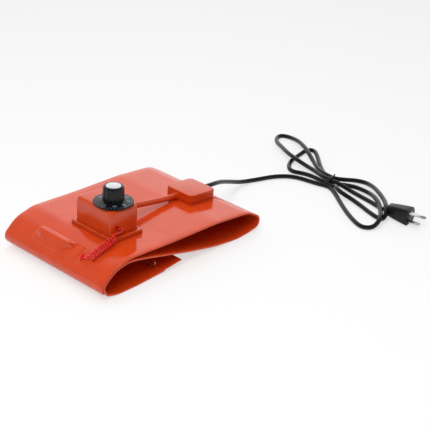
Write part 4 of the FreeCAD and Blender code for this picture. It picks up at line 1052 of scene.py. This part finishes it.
plug_stations = [
    (-34.0, 14.2, 13.6, 3.2, 4.4), (-33.6, 15.6, 14.8, 3.6, 5.0), (-33.0, 16.4, 15.6, 3.8, 5.4),
    (-24.0, 18.8, 17.6, 3.6, 6.0), (-15.3, 20.8, 19.7, 3.2, 6.8), (-7.0, 22.4, 21.8, 2.9, 7.6),
    (-1.0, 23.0, 23.0, 2.6, 8.0), (-0.3, 22.7, 22.7, 2.5, 7.8), (0.0, 21.9, 21.9, 2.2, 7.4),
]
plug_rings = []
for reach, height, depth, near, far in plug_stations:
    outline = plug_outline(height, depth, near, far)
    plug_rings.append([(reach, y, z) for y, z in outline])
plug_moulding = placed(loft("plug_moulding", plug_rings, smooth_angle=40.0), PLUG)

# %% [markdown]
# The blades are stamped from brass strip, each with a bevelled tip and a small round hole.
# The earth pin is a solid round pin with a domed end.


# %% Blades and earth pin
BLADE_Y = -6.3
EARTH_Y = 5.6


def outline_reach(centre, way, outline):
    """How far it is from a centre inside an outline to its edge, in one direction."""
    reach = 100.0
    for a, b in zip(outline, outline[1:] + outline[:1]):
        edge, gap = Vector(b) - Vector(a), Vector(a) - centre
        cross = way.x * edge.y - way.y * edge.x
        if abs(cross) < 1e-9:
            continue
        along = (gap.x * edge.y - gap.y * edge.x) / cross
        share = (gap.x * way.y - gap.y * way.x) / cross
        if along > 0 and -1e-6 <= share <= 1 + 1e-6:
            reach = min(reach, along)
    return reach


def blade(name, z):
    """A stamped blade along local X with a bevelled tip and a hole near it."""
    tip, width, thick, bevel = 17.9, 6.35, 1.5, 0.3
    centre, hole_r, sides = Vector((13.9, 0.0)), 1.5, 24
    outline = [
        (-4.0, -width / 2), (16.4, -width / 2), (tip, -width / 2 + 1.4), (tip, width / 2 - 1.4),
        (16.4, width / 2), (-4.0, width / 2),
    ]
    ways = [Vector(place[:2]) for place in circle_points(1.0, 0.0, sides)]
    outer = [centre + way * outline_reach(centre, way, outline) for way in ways]
    inner = [centre + way * hole_r for way in ways]
    rings = []
    for line, z_at, inset in (
        (inner, -thick / 2, 0.0), (outer, -thick / 2, bevel), (outer, -thick / 2 + bevel, 0.0),
        (outer, thick / 2 - bevel, 0.0), (outer, thick / 2, bevel), (inner, thick / 2, 0.0),
    ):
        moved = [point + (centre - point).normalized() * inset for point in line]
        rings.append([(point.x, BLADE_Y + point.y, z + z_at) for point in moved])
    return placed(loft(name, rings, 30.0, endless=True), PLUG)


blade_low = blade("plug_blade_low", -5.6)
blade_high = blade("plug_blade_high", 7.1)
pin_profile = [
    (0.0, -4.0), (2.4, -4.0), (2.4, 18.4), (2.25, 19.4), (1.8, 20.3), (1.1, 20.85), (0.4, 21.0),
    (0.0, 21.0),
]
along_plug = Matrix.Translation((0.0, EARTH_Y, 0.0)) @ to_right
earth_pin = placed(lathe("plug_earth_round", pin_profile, 32, 40.0), PLUG @ along_plug)

# %% [markdown]
# The figure of eight is held by one turn of a soft black tie.
# It is pulled snug round the five strands, so its outline follows the bundle.

# %% Tie
TIE_PLACE = Vector((306.5, -78.0, 0.0))
tie_outline = [
    (-10.9, 1.6), (-10.6, 4.6), (-9.0, 6.5), (1.2, 12.1), (3.0, 12.7), (9.6, 12.7), (12.2, 11.4),
    (13.2, 8.9), (12.6, 6.2), (9.8, 1.6), (8.0, 0.1), (-8.8, 0.1),
]
tie_section = [(-2.6, 0.1), (-2.4, 0.6), (0.0, 0.75), (2.4, 0.6), (2.6, 0.1), (2.3, -0.2), (-2.3, -0.2)]
tie_rings = []
tie_middle = Vector((0.0, 6.0))
for across, swell in tie_section:
    ring = []
    for x, z in tie_outline:
        out = (Vector((x, z)) - tie_middle).normalized() * swell
        ring.append((TIE_PLACE.x + x + out.x, TIE_PLACE.y + across, max(z + out.y, 0.05)))
    tie_rings.append(ring)
cord_tie = loft("cord_tie_band", tie_rings, 60.0, endless=True)
tie_soft = cord_tie.modifiers.new("soft edges", "SUBSURF")
tie_soft.levels = 2
tie_soft.render_levels = 2
tie_end = wire_along(
    "cord_tie_end",
    [TIE_PLACE + Vector(p) for p in ((7.4, -0.4, 12.4), (10.4, -0.2, 13.2), (12.2, 0.6, 14.6))],
    2.0, 2.0,
)


# %% [markdown]
# Now the finishes. Silicone sheet is glossy, deep orange-red and slightly uneven.
# Each material starts from one colour and adds what the eye sees from a hand's distance.
# For the sheet that is a faint waviness, a fine skin, a slight mottling of its colour and uneven gloss.


# %% Material helpers
def material(name, colour, roughness, specular=0.5, metallic=0.0, coat=0.0, made=None):
    """A surface with its plain values, which go straight to the shader's sockets."""
    made = made or bpy.data.materials.new(name)
    made.use_nodes = True
    surface = made.node_tree.nodes.get("Principled BSDF")
    surface.inputs["Base Color"].default_value = (*colour, 1.0)
    surface.inputs["Roughness"].default_value = roughness
    surface.inputs["Specular IOR Level"].default_value = specular
    surface.inputs["Metallic"].default_value = metallic
    surface.inputs["Coat Weight"].default_value = coat
    surface.inputs["Coat Roughness"].default_value = 0.08
    made.diffuse_color = (*colour, 1.0)
    return made, surface


def finish(name, colour, roughness, tones, bumps=(), dull=None, grain=(0.55, (1.0, 1.0, 1.0)), **plain):
    """A material with uneven colour, small bumps and uneven gloss.

    `tones` is the grain's scale and two colours, each bump is (scale, detail, distance,
    strength), and `dull` is a scale and two roughnesses.
    """
    made, surface = material(name, colour, roughness, **plain)
    nodes, links = made.node_tree.nodes, made.node_tree.links
    place = nodes.new("ShaderNodeTexCoord")
    mapping = nodes.new("ShaderNodeMapping")
    mapping.inputs["Scale"].default_value = grain[1]
    links.new(place.outputs["Object"], mapping.inputs["Vector"])

    def noise(scale, detail=4.0):
        texture = nodes.new("ShaderNodeTexNoise")
        for socket, value in (("Scale", scale), ("Detail", detail), ("Roughness", grain[0])):
            texture.inputs[socket].default_value = value
        links.new(mapping.outputs["Vector"], texture.inputs["Vector"])
        return texture.outputs["Fac"]

    ramp = nodes.new("ShaderNodeValToRGB")
    for element, position, tone in zip(ramp.color_ramp.elements, (0.35, 0.65), tones[1:]):
        element.position = position
        element.color = (*tone, 1.0)
    links.new(noise(tones[0]), ramp.inputs["Fac"])
    links.new(ramp.outputs["Color"], surface.inputs["Base Color"])
    under = None
    for scale, detail, distance, strength in bumps:
        node = nodes.new("ShaderNodeBump")
        node.inputs["Distance"].default_value = distance
        node.inputs["Strength"].default_value = strength
        links.new(noise(scale, detail), node.inputs["Height"])
        if under:
            links.new(under, node.inputs["Normal"])
        under = node.outputs["Normal"]
        links.new(under, surface.inputs["Normal"])
    if dull:
        node = nodes.new("ShaderNodeMapRange")
        for socket, value in zip(("From Min", "From Max", "To Min", "To Max"), (0.35, 0.65, *dull[1:])):
            node.inputs[socket].default_value = value
        links.new(noise(dull[0]), node.inputs["Value"])
        links.new(node.outputs["Result"], surface.inputs["Roughness"])
    return made


def assign(shape, surface_finish):
    shape.data.materials.clear()
    shape.data.materials.append(surface_finish)


# %% Silicone sheet and silicone mouldings
band_silicone = finish(
    "band_silicone", (0.66, 0.056, 0.006), 0.12, (60.0, (0.64, 0.052, 0.005), (0.69, 0.061, 0.008)),
    [(26.0, 2.0, 0.0005, 0.5), (900.0, 2.0, 0.00001, 0.4)], (120.0, 0.10, 0.16),
)
box_silicone = finish(
    "box_silicone", (0.60, 0.052, 0.002), 0.20, (70.0, (0.58, 0.049, 0.0015), (0.63, 0.056, 0.003)),
    [(60.0, 2.0, 0.0003, 0.4), (700.0, 2.0, 0.00001, 0.4)], (150.0, 0.16, 0.26),
)

# %% Dial materials
finish(
    "knob_bakelite", (0.006, 0.0058, 0.007), 0.20, (200.0, (0.005, 0.0048, 0.006), (0.008, 0.0076, 0.009)),
    [(1200.0, 2.0, 0.00001, 0.4)], (300.0, 0.18, 0.28), specular=0.25, made=knob_bakelite,
)
dial_ink = finish(
    "dial_ink", (0.30, 0.40, 0.50), 0.45, (2500.0, (0.25, 0.34, 0.44), (0.36, 0.46, 0.56)), specular=0.4
)
cap_aluminium = finish(
    "cap_aluminium", (0.66, 0.67, 0.70), 0.25, (900.0, (0.62, 0.63, 0.66), (0.70, 0.71, 0.74)),
    [(900.0, 4.0, 0.00002, 0.4)], (900.0, 0.22, 0.32), (0.6, (1.0, 14.0, 1.0)), metallic=1.0,
)

# %% Metals
steel_wire = finish(
    "steel_wire", (0.62, 0.62, 0.63), 0.24, (500.0, (0.56, 0.56, 0.57), (0.70, 0.70, 0.71)),
    [(1800.0, 3.0, 0.00002, 0.5)], metallic=1.0,
)
finish(
    "spring_lacquer", (0.80, 0.010, 0.014), 0.16, (300.0, (0.76, 0.008, 0.011), (0.84, 0.013, 0.018)),
    [(1200.0, 3.0, 0.00002, 0.5)], coat=0.6, made=spring_lacquer,
)
brass_plate = finish(
    "brass_plate", (0.62, 0.61, 0.58), 0.22, (700.0, (0.56, 0.55, 0.52), (0.68, 0.67, 0.64)),
    [(2000.0, 3.0, 0.00002, 0.5)], metallic=1.0,
)
capillary_copper = finish(
    "capillary_copper", (0.72, 0.36, 0.22), 0.3, (600.0, (0.64, 0.30, 0.18), (0.78, 0.42, 0.26)), metallic=1.0
)

# %% Black rubber and the rest
cord_rubber = finish(
    "cord_rubber", (0.006, 0.006, 0.0065), 0.20, (150.0, (0.005, 0.005, 0.0055), (0.008, 0.008, 0.0085)),
    [(800.0, 2.0, 0.00002, 0.4)], (120.0, 0.18, 0.28), specular=0.35,
)
plug_rubber = finish(
    "plug_rubber", (0.007, 0.007, 0.0075), 0.32, (200.0, (0.006, 0.006, 0.0065), (0.010, 0.010, 0.0105)),
    [(1500.0, 3.0, 0.00003, 0.5)], specular=0.25,
)
tie_plastic = finish(
    "tie_plastic", (0.010, 0.010, 0.011), 0.40, (300.0, (0.008, 0.008, 0.009), (0.014, 0.014, 0.015)),
    [(1000.0, 3.0, 0.00004, 0.5)], specular=0.25,
)
wire_cover = finish(
    "wire_cover", (0.62, 0.58, 0.52), 0.5, (300.0, (0.56, 0.52, 0.46), (0.68, 0.64, 0.58)), specular=0.4
)
switch_ceramic = finish(
    "switch_ceramic", (0.58, 0.55, 0.49), 0.55, (200.0, (0.52, 0.49, 0.43), (0.64, 0.61, 0.55)), specular=0.4
)
print("materials", len(bpy.data.materials))

# %% [markdown]
# Every piece now gets its finish, the body it moves with and the solid that it stands for.
# The dial's pieces move with the spindle and all the rest stays with the band.

# %% Finishes and bodies
SHOWN = [
    (band_silicone, "heater", "band_silicone", [
        (heater_band, "heater_blanket"), (sensor_patch, "sensor_patch"), (eye_pad, "eye_pad"),
    ]),
    (box_silicone, "heater", "box_silicone", [
        (tray, "thermostat_base"), (cover, "thermostat_housing"), (junction_box, "junction_cover"),
        (junction_foot, "junction_base"), (link_sleeve, "link_sleeve"), (junction_collar,), (cord_collar,),
    ]),
    (knob_bakelite, "dial", "knob_black", [(dial_skirt, "knob"), (dial_grip, "knob")]),
    (cap_aluminium, "dial", "cap_metal", [(dial_cap, "knob_cap")]),
    (dial_ink, "dial", "knob_black", [(dial_print,)]),
    (spring_lacquer, "heater", "spring_red", [(spring, "spring"), (spring_eye, "spring_eye")]),
    (plug_rubber, "heater", "plug_black", [(plug_moulding, "plug_body")]),
    (brass_plate, "heater", "brass", [
        (blade_low, "plug_blade_lower"), (blade_high, "plug_blade_upper"), (earth_pin, "plug_earth_pin"),
    ]),
    (tie_plastic, "heater", "tie_black", [(cord_tie, "cord_tie"), (tie_end,)]),
    (cord_rubber, "heater", "cord_black", [(power_cord, "power_cord", "cord_hank")]),
]
for made_of, body, slot_name, pieces in SHOWN:
    for shape, *stands_for in pieces:
        assign(shape, made_of)
        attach(shape, body)
        if stands_for:
            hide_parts(*stands_for)

# %% Frame pieces that keep their own mesh
KEPT = {
    "sensor_bulb": steel_wire, "capillary_tube": capillary_copper, "thermostat_plate": steel_wire,
    "thermostat_body": switch_ceramic, "diaphragm_capsule": brass_plate, "terminal_tabs": brass_plate,
    "mounting_screws": steel_wire, "spindle": steel_wire, "link_wire_live": wire_cover,
    "link_wire_load": wire_cover, "wire_splices": steel_wire, "cord_wires": wire_cover,
    "cord_ferrule": steel_wire, "end_hook": steel_wire, "hook_pad": band_silicone,
}
for name, made_of in KEPT.items():
    assign(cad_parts[name], made_of)

# %% [markdown]

# %% [markdown]
# The picture is taken on a plain white sweep under large soft lamps.
# The floor is nearly white and keeps only a faint shadow.
# The surroundings are bright near the horizon and dimmer above, which gives rubber its sheen.

# %% Floor and light
FLOOR_REACH = 6.0
floor_mesh = bpy.data.meshes.new("studio_floor")
floor_corners = [(x * FLOOR_REACH, y * FLOOR_REACH, 0) for x, y in ((-1, -1), (1, -1), (1, 1), (-1, 1))]
floor_mesh.from_pydata(floor_corners, [], [(0, 1, 2, 3)])
floor = new_object("studio_floor", floor_mesh)
floor.location.z = -0.0002
floor_paint, surface = material("studio_floor_paint", (0.95, 0.95, 0.95), 0.9, 0.0)
nodes, links = floor_paint.node_tree.nodes, floor_paint.node_tree.links
add = math_nodes(floor_paint.node_tree)
seen = nodes.new("ShaderNodeLightPath")
share = add("MULTIPLY", add("MAXIMUM", seen.outputs["Is Camera Ray"], seen.outputs["Is Glossy Ray"]), 0.6)
paper_white = nodes.new("ShaderNodeEmission")
paper_white.inputs["Strength"].default_value = 1.0
blend = nodes.new("ShaderNodeMixShader")
for source, socket in zip((share, surface.outputs[0], paper_white.outputs[0]), blend.inputs):
    links.new(source, socket)
links.new(blend.outputs[0], nodes.get("Material Output").inputs["Surface"])
assign(floor, floor_paint)

# %% Surroundings
world = bpy.data.worlds.new("studio")
bpy.context.scene.world = world
world.use_nodes = True
nodes, links = world.node_tree.nodes, world.node_tree.links
add = math_nodes(world.node_tree)
place = nodes.new("ShaderNodeTexCoord")


def towards(direction):
    """How far a direction of the world points the same way as this one, from -1 to 1."""
    node = nodes.new("ShaderNodeVectorMath")
    node.operation = "DOT_PRODUCT"
    links.new(place.outputs["Generated"], node.inputs[0])
    node.inputs[1].default_value = Vector(direction).normalized()
    return node.outputs["Value"]


height = add("MULTIPLY", towards((0.0, 0.0, 1.0)), 0.6)
dome = add("SUBTRACT", 0.95, add("MAXIMUM", height, 0.0))
side = add("MAXIMUM", add("MULTIPLY_ADD", towards((0.7, 0.7, 0.1)), 0.55, 0.60), 0.12)
window = add("MULTIPLY", add("SUBTRACT", towards((0.70, 0.62, 0.40)), 0.70), 1.5)
window = add("MAXIMUM", window, 0.0)
background = nodes["Background"]
links.new(add("ADD", add("MULTIPLY", dome, side), window), background.inputs["Color"])
background.inputs["Strength"].default_value = 1.0
white = nodes.new("ShaderNodeBackground")
white.inputs["Color"].default_value = (1.0, 1.0, 1.0, 1.0)
white.inputs["Strength"].default_value = 1.0
path = nodes.new("ShaderNodeLightPath")
mix = nodes.new("ShaderNodeMixShader")
sources = (path.outputs["Is Camera Ray"], background.outputs[0], white.outputs[0])
for source, socket in zip(sources, mix.inputs):
    links.new(source, socket)
links.new(mix.outputs[0], nodes["World Output"].inputs["Surface"])


# %% Lamps
LAMP_AIM = Vector((0.1, 0.0, 0.0))


def soft_lamp(name, place, power, size=1.3):
    """A square area lamp that looks at the object and leaves no mirror image on it."""
    data = bpy.data.lights.new(name, "AREA")
    data.shape = "RECTANGLE"
    data.size = data.size_y = size
    data.energy = power
    lamp = new_object(name, data)
    lamp.location = place
    lamp.rotation_euler = (LAMP_AIM - Vector(place)).to_track_quat("-Z", "Y").to_euler()
    lamp.visible_glossy = False
    return lamp


soft_lamp("front", (-0.9, -0.6, 1.5), 20.0)
soft_lamp("top", (0.3, 0.4, 1.8), 10.0)
print("lamps", len(bpy.data.lights))
bpy.context.scene.view_settings.view_transform = "Standard"
